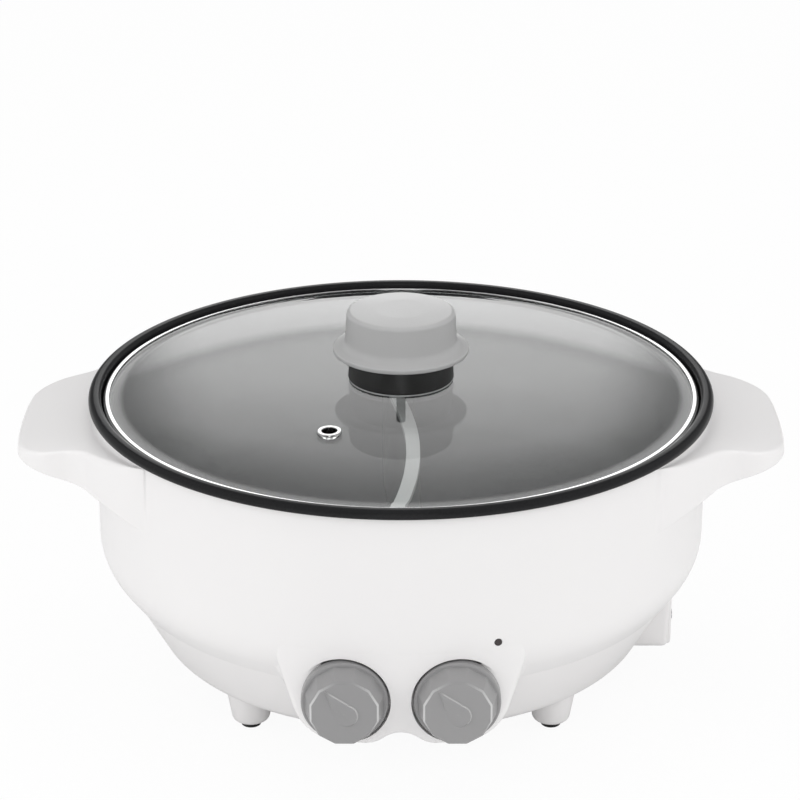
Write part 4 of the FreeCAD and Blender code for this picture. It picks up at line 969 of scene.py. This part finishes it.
# %% Floor
def floor_material():
    """A pale floor that glows for the camera's own rays, so that it is white but keeps a shadow."""
    material = bpy.data.materials.new("floor")
    material.use_nodes = True
    tree = material.node_tree
    tree.nodes.clear()
    paint = add_node(tree, "ShaderNodeBsdfDiffuse", Color=(0.86, 0.86, 0.86, 1))
    glow = add_node(tree, "ShaderNodeEmission", Color=(1, 1, 1, 1), Strength=1.0)
    ray = add_node(tree, "ShaderNodeLightPath")
    share = add_node(tree, "ShaderNodeMath", operation="MULTIPLY")
    share.inputs[1].default_value = 0.94
    mix = add_node(tree, "ShaderNodeMixShader")
    end = add_node(tree, "ShaderNodeOutputMaterial")
    join(tree, ray, "Is Camera Ray", share, 0)
    join(tree, share, "Value", mix, "Fac")
    join(tree, paint, "BSDF", mix, 1)
    join(tree, glow, "Emission", mix, 2)
    join(tree, mix, "Shader", end, "Surface")
    return material


floor_mesh = bpy.data.meshes.new("floor")
reach = 6.0
floor_corners = [(-reach, -reach, 0), (reach, -reach, 0), (reach, reach, 0), (-reach, reach, 0)]
floor_mesh.from_pydata(floor_corners, [], [(0, 1, 2, 3)])
floor_mesh.materials.append(floor_material())
floor = bpy.data.objects.new("floor", floor_mesh)
scene.collection.objects.link(floor)
print("floor", reach)


# %% World
def grey_ramp(tree, levels):
    """A ramp of greys from (position, level) pairs."""
    ramp = add_node(tree, "ShaderNodeValToRGB")
    while len(ramp.color_ramp.elements) < len(levels):
        ramp.color_ramp.elements.new(0.5)
    for element, (position, level) in zip(ramp.color_ramp.elements, levels):
        element.position = position
        element.color = (level, level, level, 1)
    return ramp


def studio_world():
    """White for the camera, an even light for the object, and a studio with a back wall for mirrors.

    The mirrors' studio is a product of three ramps: the wall ends where z - 3.2 x^2 passes 0.25, the
    light falls off towards the ceiling with z + 4.5 x^2, and it ends at the sides with x^2. Here x
    and z belong to the direction in which the mirrored ray leaves.
    """
    world = bpy.data.worlds.new("studio")
    scene.world = world
    world.use_nodes = True
    tree = world.node_tree
    tree.nodes.clear()
    ray = add_node(tree, "ShaderNodeLightPath")
    place = add_node(tree, "ShaderNodeTexCoord")
    split = add_node(tree, "ShaderNodeSeparateXYZ")
    join(tree, place, "Generated", split, "Vector")
    square = add_node(tree, "ShaderNodeMath", operation="MULTIPLY")
    join(tree, split, "X", square, 0)
    join(tree, split, "X", square, 1)
    arc = add_node(tree, "ShaderNodeMath", operation="MULTIPLY_ADD")
    arc.inputs[1].default_value = -3.2
    join(tree, square, "Value", arc, 0)
    join(tree, split, "Z", arc, 2)
    wall = grey_ramp(tree, [(0.0, 1.0), (0.24, 1.0), (0.262, 0.62), (0.29, 0.78), (0.36, 0.88), (1.0, 0.88)])
    join(tree, arc, "Value", wall, "Fac")
    bow = add_node(tree, "ShaderNodeMath", operation="MULTIPLY_ADD")
    bow.inputs[1].default_value = 4.5
    join(tree, square, "Value", bow, 0)
    join(tree, split, "Z", bow, 2)
    fall = grey_ramp(tree, [(0.0, 1.0), (0.39, 1.0), (0.44, 0.88), (0.50, 0.70), (0.54, 0.34), (0.57, 0.14),
                            (0.66, 0.10), (0.85, 0.2), (1.0, 0.25)])
    join(tree, bow, "Value", fall, "Fac")
    both = add_node(tree, "ShaderNodeMath", operation="MULTIPLY")
    join(tree, wall, "Color", both, 0)
    join(tree, fall, "Color", both, 1)
    ends = grey_ramp(tree, [(0.0, 1.0), (0.0135, 1.0), (0.0205, 0.5), (0.026, 0.1), (0.06, 0.1),
                            (0.4, 0.8), (1.0, 0.8)])
    join(tree, square, "Value", ends, "Fac")
    all_three = add_node(tree, "ShaderNodeMath", operation="MULTIPLY")
    join(tree, both, "Value", all_three, 0)
    join(tree, ends, "Color", all_three, 1)
    mirror_light = add_node(tree, "ShaderNodeBackground", Strength=2.15)
    join(tree, all_three, "Value", mirror_light, "Color")
    seen = add_node(tree, "ShaderNodeBackground", Color=(1, 1, 1, 1), Strength=1.0)
    ambient = add_node(tree, "ShaderNodeBackground", Color=(1, 1, 1, 1), Strength=0.74)
    first = add_node(tree, "ShaderNodeMixShader")
    second = add_node(tree, "ShaderNodeMixShader")
    end = add_node(tree, "ShaderNodeOutputWorld")
    join(tree, ray, "Is Glossy Ray", first, "Fac")
    join(tree, ambient, "Background", first, 1)
    join(tree, mirror_light, "Background", first, 2)
    direct = add_node(tree, "ShaderNodeMath", operation="MAXIMUM")
    join(tree, ray, "Is Camera Ray", direct, 0)
    join(tree, ray, "Is Transmission Ray", direct, 1)
    join(tree, direct, "Value", second, "Fac")
    join(tree, first, "Shader", second, 1)
    join(tree, seen, "Background", second, 2)
    join(tree, second, "Shader", end, "Surface")


studio_world()


# %% Lamps
def soft_lamp(name, spot, target, size, power):
    """A square area lamp that looks from one point at another."""
    data = bpy.data.lights.new(name, "AREA")
    data.shape = "SQUARE"
    data.size = size
    data.energy = power
    lamp = bpy.data.objects.new(name, data)
    lamp.location = spot
    lamp.rotation_euler = (Vector(target) - Vector(spot)).to_track_quat("-Z", "Y").to_euler()
    lamp.visible_glossy = False
    scene.collection.objects.link(lamp)


aim = (0, axis_y * MM, 0.1)
soft_lamp("front_lamp", (-0.3, -2.2, 1.2), aim, 1.4, 5)
soft_lamp("left_lamp", (-1.9, -0.8, 1.1), aim, 1.2, 8.5)
soft_lamp("right_lamp", (1.9, -0.8, 1.1), aim, 1.2, 8.2)
soft_lamp("top_lamp", (0, 0.2, 2.2), aim, 1.6, 8.5)
print("lamps", 4)
